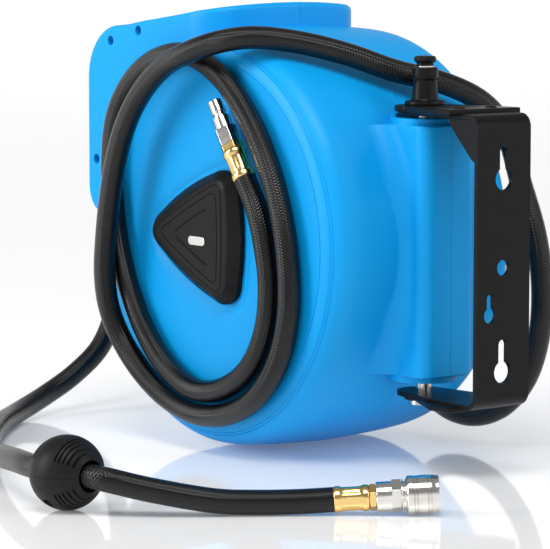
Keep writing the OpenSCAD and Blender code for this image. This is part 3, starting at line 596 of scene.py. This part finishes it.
class REEL_OT_hoses(bpy.types.Operator):
    """Lays the lead and the outlet hose along their routes"""

    bl_idname = "reel.hoses"
    bl_label = "Hoses"

    def execute(self, context):
        radius = context.scene.reel_sizes.hose_r
        lead, path, length = hose("lead_tube", LEAD_ROUTE, radius)
        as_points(path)
        delivery, path, length = hose("delivery_tube", DELIVERY_ROUTE, radius)
        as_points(path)
        return {"FINISHED"}


# ---- Casing ----


RIM = ((119.9, 76), (123.5, 75.4), (127.4, 73.9), (130.8, 71.6), (133.4, 68.6), (135.2, 65), (136.4, 60),
       (137.3, 53), (138.2, 42), (138.9, 30), (139.5, 17), (139.9, 6), (140, 0))


def rim_radius(x):
    """The round casing's radius at one place across it."""
    for (r1, x1), (r2, x2) in zip(RIM, RIM[1:]):
        if x2 <= abs(x) <= x1:
            return r1 + (r2 - r1) * (x1 - abs(x)) / (x1 - x2)
    return RIM[0][0]


def round_profile(sizes, inset):
    """Half profile of the round casing as (along, radius), from one face's centre to the other's."""
    face = sizes.face_x - inset
    grow = sizes.casing_r - 140.0 - inset
    grooves = []
    if inset == 0:
        for r, x in ((119.6, 76.0), (127.4, 73.9), (129.2, 72.8)):
            grooves.append([(r + dr, x - dx) for dr,
                dx in ((-0.3, 0), (-0.1, 0.45), (0.1, 0.45), (0.3, 0.1))])
    rim = smooth_line([(r, x, 0) for r, x in RIM], 4)
    half = [(face, 0.0)]
    spots = [(p.x, p.y) for p in rim]
    for groove in grooves:
        low, high = groove[0][0], groove[-1][0]
        spots = sorted([p for p in spots if not low - 0.2 < p[0] < high + 0.2] + groove,
            key=lambda p: (p[0], -p[1]))
    if inset == 0:
        half += [(face, 60.0), (face, 105.0)]
    half += [(x - inset, r + grow) for r, x in spots]
    return half + [(-x, r) for x, r in reversed(half[:-1])]


def round_solid(sizes, inset):
    """The round casing's solid about the X axis."""
    bm = bmesh.new()
    lathe(bm, round_profile(sizes, inset), steps=180, turn=Matrix.Rotation(math.pi / 2, 4, "Y"))
    return rough_piece(bm, "round_solid")


def rounded(distance, radius):
    """How far a round edge of that radius falls back at a distance from its side."""
    depth = max(0.0, radius - max(0.0, distance))
    return radius - math.sqrt(max(0.0, radius * radius - depth * depth))


def box_section(x, half, inset):
    """The outlet box's outline (Y, Z) at one place across it."""
    share, edge = min(abs(x) / half, 1.0), half - abs(x)
    rear = 3.0 - 14.0 * share**2 - rounded(edge, 24.0) - inset
    crown = 2.5 * share**2 + rounded(edge, 3.0) + inset
    front = -153.0 + rounded(edge, 3.0) + inset
    nose = 35.0 - inset

    def top(y):
        return 155.0 + 0.12 * y - crown

    points = [(rear, 70.0), (rear, 100.0), (rear, 125.0), (rear, top(rear) - 8.0)]
    points += arc(rear - 3.5, top(rear) - 3.5, 3.5, 0, 83, 6)
    points += [(y, top(y)) for y in (-45.0, -66.0, -90.0)]
    points += arc(front + nose, top(-118.0) - nose, nose, 83, 180, 14)
    points += [(front, 80.0), (front, 50.0)]
    points += arc(front + 20.0 - inset, 27.0 + inset, 20.0 - inset, 180, 232, 6)
    return points + [(front + 24.0, 4.0 + inset), (-100.0, 10.0), (-60.0, 40.0)]


def box_solid(sizes, inset):
    """The square outlet box's solid, crowned on top and bowed at the back."""
    half = sizes.box_half - inset
    count = len(box_section(0.0, half, inset))
    steps = [0.0, 0.15, 0.5, 1.0, 1.7, 2.5, 3.4, 4.6, 6.0, 8.0, 10.5, 13.0, 16.0, 20.0, 25.0, 31.0, 38.0,
        46.0, 55.0]
    stations = [-half + d for d in steps] + [0.0] + [half - d for d in reversed(steps)]
    last = len(stations) - 1
    bm = bmesh.new()

    def place(u, v):
        x = stations[round(v * last)]
        y, z = box_section(x, half, inset)[round(u * count) % count]
        return Vector((x, y, z))

    sheet(bm, count, last, place)
    close(bm)
    return rough_piece(bm, "box_solid")


def column_solid():
    """The rear column: a bar that flares into the round casing."""
    half, rear, corner, widest = 22.0, 157.0, 9.0, 15.0
    ends = [78.5, 79.2, 79.7, 80.0]
    stations = [-z for z in reversed(ends)] + [-75.0 + 6.25 * i for i in range(25)] + ends
    last = len(stations) - 1

    def surface(x, z):
        return math.sqrt(rim_radius(x) ** 2 - z * z) - 0.25

    def outline(z):
        edge = max(0.0, abs(z) - 78.5)
        pull = 1.5 - math.sqrt(max(0.0, 2.25 - edge * edge))
        flare = min(widest, rear - corner - 1.0 - surface(half, z))
        side = half - pull
        points = arc(side - corner, rear - corner - pull, corner, 90, 0, 7)
        points.append((side, surface(half, z) + flare + 0.5))
        for x, y in arc(0, 0, flare, 0, 90, 9):
            out = side + flare - x
            points.append((out, surface(out, z) + flare - y))
        points.append((half + flare + 3.0, surface(half + flare + 3.0, z) - 3.0))
        points.append((0.0, surface(0, z) - 12.0))
        return points + [(-x, y) for x, y in reversed(points[:-1])]

    count = len(outline(0.0))
    bm = bmesh.new()

    def place(u, v):
        z = stations[round(v * last)]
        x, y = outline(z)[round(u * count) % count]
        return Vector((x, y, z))

    sheet(bm, count, last, place)
    close(bm)
    return rough_piece(bm, "column_solid")


def bar(radius, low, high, turn, steps=48, round_by=0.0):
    """A round bar along a turned Z axis."""
    bm = bmesh.new()
    if round_by:
        profile = [(low, 0.0), *arc(low + round_by, radius - round_by, round_by, 180, 90, 4),
                   *arc(high - round_by, radius - round_by, round_by, 90, 0, 4), (high, 0.0)]
    else:
        profile = [(low, 0.0), (low, radius), (high, radius), (high, 0.0)]
    lathe(bm, profile, steps, turn)
    return rough_piece(bm, "bar")


def block(low, high):
    """A plain block between two corners, for cutting."""
    bm = bmesh.new()
    size = [b - a for a, b in zip(low, high)]
    centre = [(a + b) / 2 for a, b in zip(low, high)]
    bmesh.ops.create_cube(bm, size=1.0, matrix=Matrix.Translation(centre) @ Matrix.Diagonal((*size, 1.0)))
    return rough_piece(bm, "block")


def triangle(vertex, corner, steps=12, bulge=0.0):
    """Round-cornered triangle that points at -Y, its sides bulged a little."""
    points = []
    for centre in (60, 180, 300):
        a = math.radians(centre)
        points += arc(vertex * math.cos(a), vertex * math.sin(a), corner, centre - 60, centre + 60, steps)
        x0, y0 = points[-1]
        nxt = math.radians(centre + 120)
        start = math.radians(centre + 60)
        x1 = vertex * math.cos(nxt) + corner * math.cos(start)
        y1 = vertex * math.sin(nxt) + corner * math.sin(start)
        if bulge:
            for t in (0.15, 0.3, 0.5, 0.7, 0.85):
                out = bulge * 4 * t * (1 - t)
                points.append((x0 + (x1 - x0) * t + out * math.cos(start),
                    y0 + (y1 - y0) * t + out * math.sin(start)))
    return points


def stack(bm, outlines, turn):
    """Skins a pile of matching outlines, each a list of (x, y) at a height, and closes both ends."""
    count, last = len(outlines[0][1]), len(outlines) - 1

    def place(u, v):
        height, points = outlines[round(v * last)]
        x, y = points[round(u * count) % count]
        return Vector((x, y, height))

    made = sheet(bm, count, last, place)
    bmesh.ops.transform(bm, matrix=turn, verts=made)
    close(bm)


CAP_SHAPE = Matrix.Translation((0, 3.3, 0)) @ Matrix.Diagonal((1.07, 0.91, 1, 1))
BOX_SCREWS = ((-91.0, 135.5), (-124.0, 128.0), (-142.0, 45.5))


class REEL_OT_casing(bpy.types.Operator):
    """Moulds the two halves of the casing as shells"""

    bl_idname = "reel.casing"
    bl_label = "Casing halves"

    def execute(self, context):
        sizes = context.scene.reel_sizes
        shell = round_solid(sizes, 0.0)
        upright = Matrix.Translation((0, PIN_Y, 0))
        lug = bmesh.new()
        stack(
            lug,
            [(z, arc(0, 0, 22.6 - cut, -130, -50, 10) + arc(0, 0, 18.5 + cut, -50, -130, 10))
             for z, cut in ((78.0, 0.0), (85.2, 0.0), (86.0, 0.7))],
            upright,
        )
        inlet_boss = bar(31.0, -82.0, -70.0, Matrix.Rotation(math.pi / 2, 4, "Y"), 72, 1.0)
        carve(shell, [box_solid(sizes, 0.0), column_solid()], "UNION")
        carve(shell, [bar(21.9, -84.0, 84.0, upright, 64, 0.8), rough_piece(lug, "lug"), inlet_boss], "UNION")
        dish = bmesh.new()
        stack(
            dish,
            [(h, triangle(38.0, c, bulge=3.0)) for h,
            c in ((-1.6, 19.0), (-1.3, 20.0), (0.4, 24.5), (1.5, 26.5))],
            on_side(sizes.face_x) @ CAP_SHAPE,
        )
        hollow = round_solid(sizes, sizes.wall)
        carve(hollow, [box_solid(sizes, sizes.wall)], "UNION")
        across = Matrix.Rotation(math.pi / 2, 4, "Y")
        cutters = [
            hollow, rough_piece(dish, "dish"), bar(PIN_BORE, -90, 90, upright),
            bar(AXLE_BORE, -90, 90, across),
            block((-OUTLET_HALF, -170, OUTLET_LOW), (OUTLET_HALF, -114.8, OUTLET_TOP)),
        ]
        for y, z in BOX_SCREWS:
            cutters.append(bar(3.4, 58, 70, Matrix.Translation((0, y, z)) @ across))
        carve(shell, cutters)
        for name, low, high in (("casing_shell_left", 0.12, 200.0), ("casing_shell_right", -200.0, -0.12)):
            mesh = shell.data.copy()
            half = bpy.data.objects.new(name + "_blank", mesh)
            context.scene.collection.objects.link(half)
            carve(half, [block((low, -300, -300), (high, 300, 300))], "INTERSECT")
            settle(half, name, "blue_moulding", "casing", [name.replace("_shell", "")])
        spare = shell.data
        bpy.data.objects.remove(shell)
        bpy.data.meshes.remove(spare)
        return {"FINISHED"}


class REEL_OT_cap(bpy.types.Operator):
    """Shapes the triangular cap, its grooves and its plain plate"""

    bl_idname = "reel.cap"
    bl_label = "Triangular cap"

    def execute(self, context):
        base = 74.6
        bm = bmesh.new()
        rings = [(0.0, 38.0, 15.4), (3.0, 38.0, 15.4), (3.6, 38.0, 15.0), (8.4, 38.0, 9.8),
            (8.9, 38.0, 8.9), (9.5, 38.0, 7.0),
                 (9.6, 38.0, 6.0), (9.2, 38.0, 5.6), (9.2, 38.0, 5.2), (9.7, 38.0, 4.8), (9.8, 35.0, 4.3),
                 (9.8, 33.0, 4.1),
                 (9.3, 32.6, 4.0), (9.3, 32.2, 3.9), (9.8, 31.8, 3.8), (9.9, 27.0, 3.4), (9.9, 20.0, 3.1),
                 (9.0, 19.0, 2.9), (9.0, 11.0, 2.0)]
        stack(bm, [(h, triangle(v, c, bulge=3.2 * c / 15.4)) for h, v, c in rings], on_side(base) @ CAP_SHAPE)
        settle(bm, "triangle_cover", "black_moulding", "casing", ["triangle_cap"], sharp=40)
        oval = bmesh.new()
        outline = arc(6, 0, 3, -90, 90, 12) + arc(-6, 0, 3, 90, 270, 12)
        prism(oval, outline, 0.0, 0.7, 0.25, turn=on_side(83.7))
        settle(oval, "oval_plate", "bright_plate", "casing", ["cap_plate"])
        return {"FINISHED"}


# ---- Bracket ----


def arm_plan(nose, half, reach, steps=16, waist=0.7):
    """Outline of an arm: round nose at the pivot, straight flanks, square end."""
    lean = math.asin(max(-1.0, min(1.0, (half - nose) / math.hypot(reach * waist, half - nose))))
    a = math.degrees(lean)
    points = arc(0, 0, nose, 180 - a + 0, 360 + a, steps * 2)
    return points + [(half, reach * waist), (half, reach), (-half, reach), (-half, reach * waist)]


def keyhole(entry, slot, drop, x, z):
    """Cutter for a keyhole whose seat is at x, z on the wall plate."""
    outline = arc(0, 0, slot, 0, 180, 12)
    turn = math.degrees(math.asin(slot / entry))
    outline += [(px, py - drop) for px, py in arc(0, 0, entry, 90 + turn, 450 - turn, 32)]
    bm = bmesh.new()
    stand = Matrix.Translation((x, WALL_Y + 10, z)) @ Matrix.Rotation(math.pi / 2, 4, "X")
    prism(bm, outline, 0.0, 24.0, turn=stand)
    return rough_piece(bm, "keyhole")


class REEL_OT_bracket(bpy.types.Operator):
    """Folds the wall bracket and lays its cover plates and rivets"""

    bl_idname = "reel.bracket"
    bl_label = "Bracket"

    def execute(self, context):
        sizes = context.scene.reel_sizes
        t, bend, half = sizes.steel_t, sizes.bend_r, 22.0
        top = ARM_TOP
        mid = bend - t / 2
        path = [(PIN_Y - 16 + 0.4 * i * i, top - t / 2) for i in range(7)] + [(y,
            top - t / 2) for y in (136, 145, 155, 165, 175, 185, 192)]
        path += arc(WALL_Y - bend, top - bend, mid, 90, 0, 8)
        upper = list(path)
        path += [(WALL_Y - t / 2, z) for z in range(70, -76, -5)]
        path += [(y, -z - LOW_DROP) for y, z in reversed(upper)]
        last = len(path) - 1
        bm = bmesh.new()

        def width(y):
            if y < PIN_Y:
                return math.sqrt(max(0.0, 16.0**2 - (PIN_Y - y) ** 2))
            return min(half, 16.0 + 6.0 * (y - PIN_Y) / 45.0)

        def place(u, v):
            y, z = path[round(v * last)]
            return Vector(((2 * u - 1) * max(0.05, width(y)), y, z))

        sheet(bm, 2, last, place)
        bmesh.ops.recalc_face_normals(bm, faces=bm.faces)
        bmesh.ops.solidify(bm, geom=bm.faces[:], thickness=t)
        bmesh.ops.recalc_face_normals(bm, faces=bm.faces)
        plate = rough_piece(bm, "plate")
        xs = [v.co for v in plate.data.vertices]
        shift = WALL_Y - max(c.y for c in xs)
        for v in plate.data.vertices:
            v.co.y += shift
        gussets = []
        for start in (half - t + 0.1, -half + 0.2):
            piece = bmesh.new()
            outline = [(WALL_Y - 2.5, 59.5), (WALL_Y - 1.0, 62.0), (WALL_Y - 1.2, 84.5), (WALL_Y - 4, 86),
                       (WALL_Y - 27, 86), (WALL_Y - 27, 83.4), (WALL_Y - 24, 79.5), (WALL_Y - 6, 61.0)]
            prism(piece, outline, 0.0, t - 0.3, 0.4, turn=on_side(start))
            gussets.append(rough_piece(piece, "gusset"))
        carve(plate, gussets, "UNION")
        cutters = [
            keyhole(7.0, 3.5, 17.0, 0, 66.0), keyhole(7.0, 3.5, 17.0, 0, -54.0),
            keyhole(5.0, 2.8, 10.5, 10.7, -24.5),
            bar(5.1, WALL_Y - 10, WALL_Y + 10,
            Matrix.Translation((0, 0, -6)) @ Matrix.Rotation(-math.pi / 2, 4, "X")),
            bar(PIN_BORE, -100, 100, Matrix.Translation((0, PIN_Y, 0))),
        ]
        carve(plate, cutters)
        folded = settle(plate, "folded_bracket", "powder_coat", "bracket", ["wall_bracket"])
        edge = folded.modifiers.new("edge", "BEVEL")
        edge.width, edge.segments, edge.limit_method, edge.angle_limit = 0.0005, 2, "ANGLE", math.radians(40)
        edge.harden_normals = False
        folded.modifiers.move(1, 0)

        for name, height, nose in (("top_slab", 87.75, 19.4), ("bottom_slab", -91.75 - LOW_DROP, 12.5)):
            bm = bmesh.new()
            prism(bm, arm_plan(nose, 29.4, 57.0), 0.0, 4.0, 0.9, turn=Matrix.Translation((0, PIN_Y, height)))
            piece = rough_piece(bm, name + "_blank")
            carve(piece, [bar(PIN_BORE, -100, 100, Matrix.Translation((0, PIN_Y, 0)))])
            settle(piece, name, "powder_coat", "bracket", [name.replace("slab", "plate")])
        rivets = bmesh.new()
        for side in (-1, 1):
            for flip in (-1, 1):
                head = [(91.6, 0.0), (91.6, 4.0), (92.3, 3.7), (93.0, 2.6), (93.3, 0.0)]
                one = bmesh.new()
                lathe(one, head, 24)
                if flip < 0:
                    bmesh.ops.rotate(one, matrix=Matrix.Rotation(math.pi, 3, "X"), verts=one.verts)
                bmesh.ops.translate(one, verts=one.verts,
                    vec=(side * 13.0, PIN_Y + 48.0, min(flip, 0) * LOW_DROP))
                mesh = bpy.data.meshes.new("rivet")
                one.to_mesh(mesh)
                one.free()
                rivets.from_mesh(mesh)
                bpy.data.meshes.remove(mesh)
        settle(rivets, "rivet_heads", "powder_coat", "bracket", ["plate_rivets"])
        return {"FINISHED"}


class REEL_OT_pull_pin(bpy.types.Operator):
    """Turns the pull pin's body and its knob"""

    bl_idname = "reel.pull_pin"
    bl_label = "Pull pin"

    def execute(self, context):
        stand = Matrix.Translation((0, PIN_Y, 91.75))
        body = [(0, 5.05), (0, 12.7), (0.4, 13), (1.6, 13), (2.3, 12.7), (2.8, 11.6), (3.0, 9.3),
            (3.6, 8.7), (4.6, 8.4),
                (9.5, 8.0), (14.8, 7.6), (15.6, 7.6), (16.2, 7.8), (16.8, 8.15), (17.4, 8.3), (22.6, 8.3),
                (23.4, 8.1), (24.0, 7.6),
                (24.0, 5.05), (22.0, 5.05), (22.0, 6.8), (6.0, 6.8), (6.0, 5.05)]
        bm = bmesh.new()
        lathe(bm, body, 64, stand)
        settle(bm, "plunger_turned", "powder_coat", "bracket", ["plunger_body"], sharp=40)
        knob = [(0.75, 0), (0.75, 5.5), (1.6, 5.4), (2.6, 5.4), (3.0, 6.0), (3.6, 6.7), (4.3, 7.0),
            (5.8, 7.0), (6.5, 6.7),
                (7.0, 5.9), (7.2, 4.2), (7.25, 0)]
        bm = bmesh.new()
        lathe(bm, knob, 64, Matrix.Translation((0, PIN_Y, 115.75)))
        settle(bm, "knob_turned", "black_moulding", "pull_pin", ["pull_knob"], sharp=40)
        return {"FINISHED"}


# ---- Fittings ----

FERRULE = [(0.02, 3.5), (0.02, 7.0), (0.5, 7.6), (1.3, 7.8), (3.4, 7.8), (4.1, 7.5), (5.0, 7.15),
    (7.0, 7.1), (9.0, 7.1), (12.0, 7.1),
           (14.5, 7.1), (16.2, 7.2), (17.2, 7.6), (18.0, 7.8), (19.7, 7.8), (20.5, 7.5), (20.98, 7.0),
           (20.98, 3.5)]
INLET_FERRULE = [(0, 7.62), (0, 8.0), (0.5, 8.5), (3.2, 8.5), (4.2, 8.25), (6.0, 8.15), (9.0, 8.15),
    (12.0, 8.15), (16.0, 8.2),
                 (17.4, 8.5), (20.0, 8.5), (20.96, 8.0), (20.96, 3.5), (15.0, 3.5), (15.0, 7.62)]


def crimped(name, node_name, turn, profile, waist):
    """A crimped ferrule with flats pressed round its waist."""
    bm = bmesh.new()
    lathe(bm, profile, 64)
    for v in bm.verts:
        radius = math.hypot(v.co.x, v.co.y)
        if radius > waist and 4.5 < v.co.z < 17.0:
            press = math.sin(math.pi * (v.co.z - 4.5) / 12.5) ** 0.4
            share = 1.0 - press * 0.055 * (0.5 + 0.5 * math.cos(8 * math.atan2(v.co.y, v.co.x))) ** 2
            v.co.x *= share
            v.co.y *= share
    bmesh.ops.transform(bm, matrix=turn, verts=bm.verts)
    settle(bm, name, "bright_brass", "casing", [node_name], sharp=45)


def hexagon_solid(flats, low, high, turn, chamfer=0.9):
    """A hexagon nut with turned chamfers."""
    bm = bmesh.new()
    radius = flats / 2 / math.cos(math.pi / 6)
    outline = [(radius * math.cos(math.radians(a)), radius * math.sin(math.radians(a))) for a in range(0,
        360, 60)]
    prism(bm, outline, low, high)
    edges = [e for e in bm.edges if abs(e.verts[0].co.z - e.verts[1].co.z) > 0.01]
    bmesh.ops.bevel(bm, geom=edges, offset=0.35, affect="EDGES", segments=2, profile=0.5, material=-1)
    piece = rough_piece(bm, "hexagon")
    cone = bmesh.new()
    keep = radius + 1.0
    skirt = flats / 2 - 0.1
    lathe(cone, [(low, 0), (low, skirt), (low + chamfer, keep), (high - chamfer, keep), (high, skirt),
        (high, 0)], 48)
    carve(piece, [rough_piece(cone, "cone")], "INTERSECT")
    piece.data.transform(turn)
    return piece


def fitting(name, node_name, material, body, hexes, profile, turn, steps=64):
    """Hexagons and a turned profile joined as one fitting."""
    bm = bmesh.new()
    lathe(bm, profile, steps, turn)
    whole = rough_piece(bm, name + "_blank")
    if hexes:
        carve(whole, [hexagon_solid(flats, low, high, turn) for flats, low, high in hexes], "UNION")
    return settle(whole, name, material, body, [node_name], sharp=38)


class REEL_OT_fittings(bpy.types.Operator):
    """Makes the ferrules, adapters, plug and coupler"""

    bl_idname = "reel.fittings"
    bl_label = "Fittings"

    def execute(self, context):
        crimped("lead_crimp", "lead_ferrule", lead_tip(0), FERRULE, 6.5)
        crimped("delivery_crimp", "delivery_ferrule", delivery_tip(0), FERRULE, 6.5)
        crimped("inlet_crimp", "inlet_ferrule", Matrix.Translation((-97, 0, -41)), INLET_FERRULE, 8.0)
        ring = [(0.0, 3.5), (0.0, 6.3), (4.0, 6.3), (4.0, 3.5)]
        fitting("lead_hex", "lead_adapter", "bright_brass", "casing", [(14.0, 0.02, 3.98)],
                ring, lead_tip(ADAPTER_AT))
        fitting("coupler_hex", "coupler_adapter", "bright_brass", "casing", [(14.0, 0.02, 3.98)],
                ring, delivery_tip(ADAPTER_AT))
        plug = [(0, 2.5), (0, 6.3), (12.0, 6.3), (12.2, 6.0), (12.4, 5.9), (20.4, 5.9), (21.0, 5.5),
            (21.2, 4.4), (21.6, 4.1),
                (23.7, 4.1), (24.0, 4.7), (24.4, 4.9), (32.4, 4.9), (33.0, 4.4), (33.0, 2.5)]
        fitting("plug_turned", "lead_plug", "bright_plate", "casing", [(14.0, 0.02, 12.0)], plug,
                lead_tip(END_PIECE_AT))
        body = [(0, 3.5), (0, 8.4), (0.5, 8.9), (9.2, 8.9), (9.4, 8.4), (34.4, 8.4), (35.0, 7.9), (35.0, 6.5),
                (34.5, 6.1), (8.0, 6.1), (8.0, 3.5)]
        fitting("coupler_turned", "coupler_body", "bright_plate", "casing", [(17.5, 9.0, 14.8)],
            body,
                delivery_tip(END_PIECE_AT))
        sleeve = [(0, 10.0), (0, 10.8), (0.6, 11.4), (1.2, 11.6), (3.8, 11.6), (4.1, 11.1), (4.4, 11.1),
            (4.7, 11.6), (5.6, 11.6), (5.9, 11.1),
                  (6.2, 11.1), (6.5, 11.6), (11.9, 11.6), (12.2, 11.1), (12.5, 11.1), (12.8, 11.6),
                  (13.6, 11.6), (13.9, 11.2),
                  (14.2, 11.2), (14.5, 11.5), (16.6, 11.1), (17.0, 10.9), (18.6, 10.9), (19.0, 10.6),
                  (19.0, 9.6), (7.9, 9.6),
                  (7.9, 8.45), (6.0, 8.45), (6.0, 10.0)]
        bm = bmesh.new()
        lathe(bm, sleeve, 72, delivery_tip(SLEEVE_AT))
        settle(bm, "sleeve_turned", "bright_plate", "coupler_sleeve", ["coupler_sleeve"], sharp=30)
        return {"FINISHED"}


class REEL_OT_stop_ball(bpy.types.Operator):
    """Moulds the two halves of the stop ball"""

    bl_idname = "reel.stop_ball"
    bl_label = "Stop ball"

    def execute(self, context):
        ahead, behind = Vector(DELIVERY_ROUTE[16]), Vector(DELIVERY_ROUTE[15])
        turn = aim(BALL_AT, math.atan2(ahead.y - behind.y, ahead.x - behind.x), 0.0)
        radius, bore = 22.5, 9.6
        start = math.degrees(math.acos(bore / radius))
        skin = [(radius * math.sin(math.radians(a)), radius * math.cos(math.radians(a)))
                for a in [-start + 2 * start * i / 64 for i in range(65)]]
        profile = [(p[0], p[1]) for p in skin]
        inner = [(profile[-1][0] - 2.0, bore - 1.0), (9.0, 7.6), (-9.0, 7.6),
            (profile[0][0] + 2.0, bore - 1.0)]
        bm = bmesh.new()
        lathe(bm, profile + inner, 96)
        ball = rough_piece(bm, "ball_blank")
        cutters = []
        for end in (1, -1):
            for k in range(5):
                at = 8.6 + k * 2.3
                out = math.sqrt(radius * radius - at * at)
                for first, second in ((-62, 62), (118, 242)):
                    ring = bmesh.new()
                    steps = 20
                    outline = arc(0, 0, out + 3, first, second, steps) + arc(0, 0, out - 1.2, second, first,
                        steps)
                    prism(ring, outline, end * at - 0.55, end * at + 0.55)
                    cutters.append(rough_piece(ring, "groove"))
        for side in (-1, 1):
            cutters.append(bar(3.2, 12, 30,
                Matrix.Translation((0, side * 14.5, 0)) @ Matrix.Rotation(math.pi / 2, 4, "Y"), 32))
        carve(ball, cutters)
        for name, low, high in (("ball_shell_a", 0.08, 40.0), ("ball_shell_b", -40.0, -0.08)):
            half = bpy.data.objects.new(name + "_blank", ball.data.copy())
            context.scene.collection.objects.link(half)
            carve(half, [block((low, -40, -40), (high, 40, 40))], "INTERSECT")
            half.data.transform(turn)
            settle(half, name, "ball_rubber", "casing", [name.replace("shell", "half")],
                sharp=40)
        spare = ball.data
        bpy.data.objects.remove(ball)
        bpy.data.meshes.remove(spare)
        return {"FINISHED"}


CARRIED = {
    "bright_plate": [
        "locking_pin", "roller_top", "roller_bottom", "roller_left", "roller_right", "roller_pins", "axle",
        "axle_nut", "pawl_pin", "coupler_balls", "pivot_stud", "pin_spring", "coupler_spring",
    ],
    "dark_steel": ["casing_screws", "ball_screws", "spring_arbor", "pawl", "pawl_spring", "ratchet_ring",
    "power_spring"],
    "bright_brass": ["swivel_housing", "hose_tail", "inlet_elbow"],
    "grey_moulding": ["drum_core", "flange_left", "flange_right", "spring_case", "spring_case_lid"],
    "white_moulding": ["bush_left", "bush_right"],
    "black_moulding": ["inlet_cover", "outlet_frame", "wound_hose", "hose_run", "swivel_seals"],
}


class REEL_OT_carried(bpy.types.Operator):
    """Gives the parts that keep their design shape their finishes"""

    bl_idname = "reel.carried"
    bl_label = "Carried parts"

    def execute(self, context):
        for material, names in CARRIED.items():
            for name in names:
                use(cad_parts[name], material)
        return {"FINISHED"}


STEPS = ("stage", "finishes", "hoses", "casing", "cap", "bracket", "pull_pin", "fittings", "stop_ball",
    "carried")


class REEL_PT_panel(bpy.types.Panel):
    """Lists the steps that build the reel"""

    bl_idname = "REEL_PT_panel"
    bl_label = "Hose reel"
    bl_space_type = "VIEW_3D"
    bl_region_type = "UI"
    bl_category = "Hose reel"

    def draw(self, context):
        for step in STEPS:
            self.layout.operator("reel." + step)
        for values in (context.scene.reel_sizes, context.scene.reel_colours):
            for key in values.bl_rna.properties.keys():
                if key not in {"rna_type", "name"}:
                    self.layout.prop(values, key)


CLASSES = (
    ReelSizes, ReelColours, REEL_OT_stage, REEL_OT_finishes, REEL_OT_hoses, REEL_OT_casing, REEL_OT_cap,
    REEL_OT_bracket, REEL_OT_pull_pin, REEL_OT_fittings, REEL_OT_stop_ball, REEL_OT_carried, REEL_PT_panel,
)


def register():
    for made in CLASSES:
        bpy.utils.register_class(made)
    bpy.types.Scene.reel_sizes = PointerProperty(type=ReelSizes)
    bpy.types.Scene.reel_colours = PointerProperty(type=ReelColours)


def unregister():
    del bpy.types.Scene.reel_colours
    del bpy.types.Scene.reel_sizes
    for made in reversed(CLASSES):
        bpy.utils.unregister_class(made)


def main():
    """Builds everything in order."""
    register()
    for step in STEPS:
        getattr(bpy.ops.reel, step)()


if __name__ == "__main__":
    main()
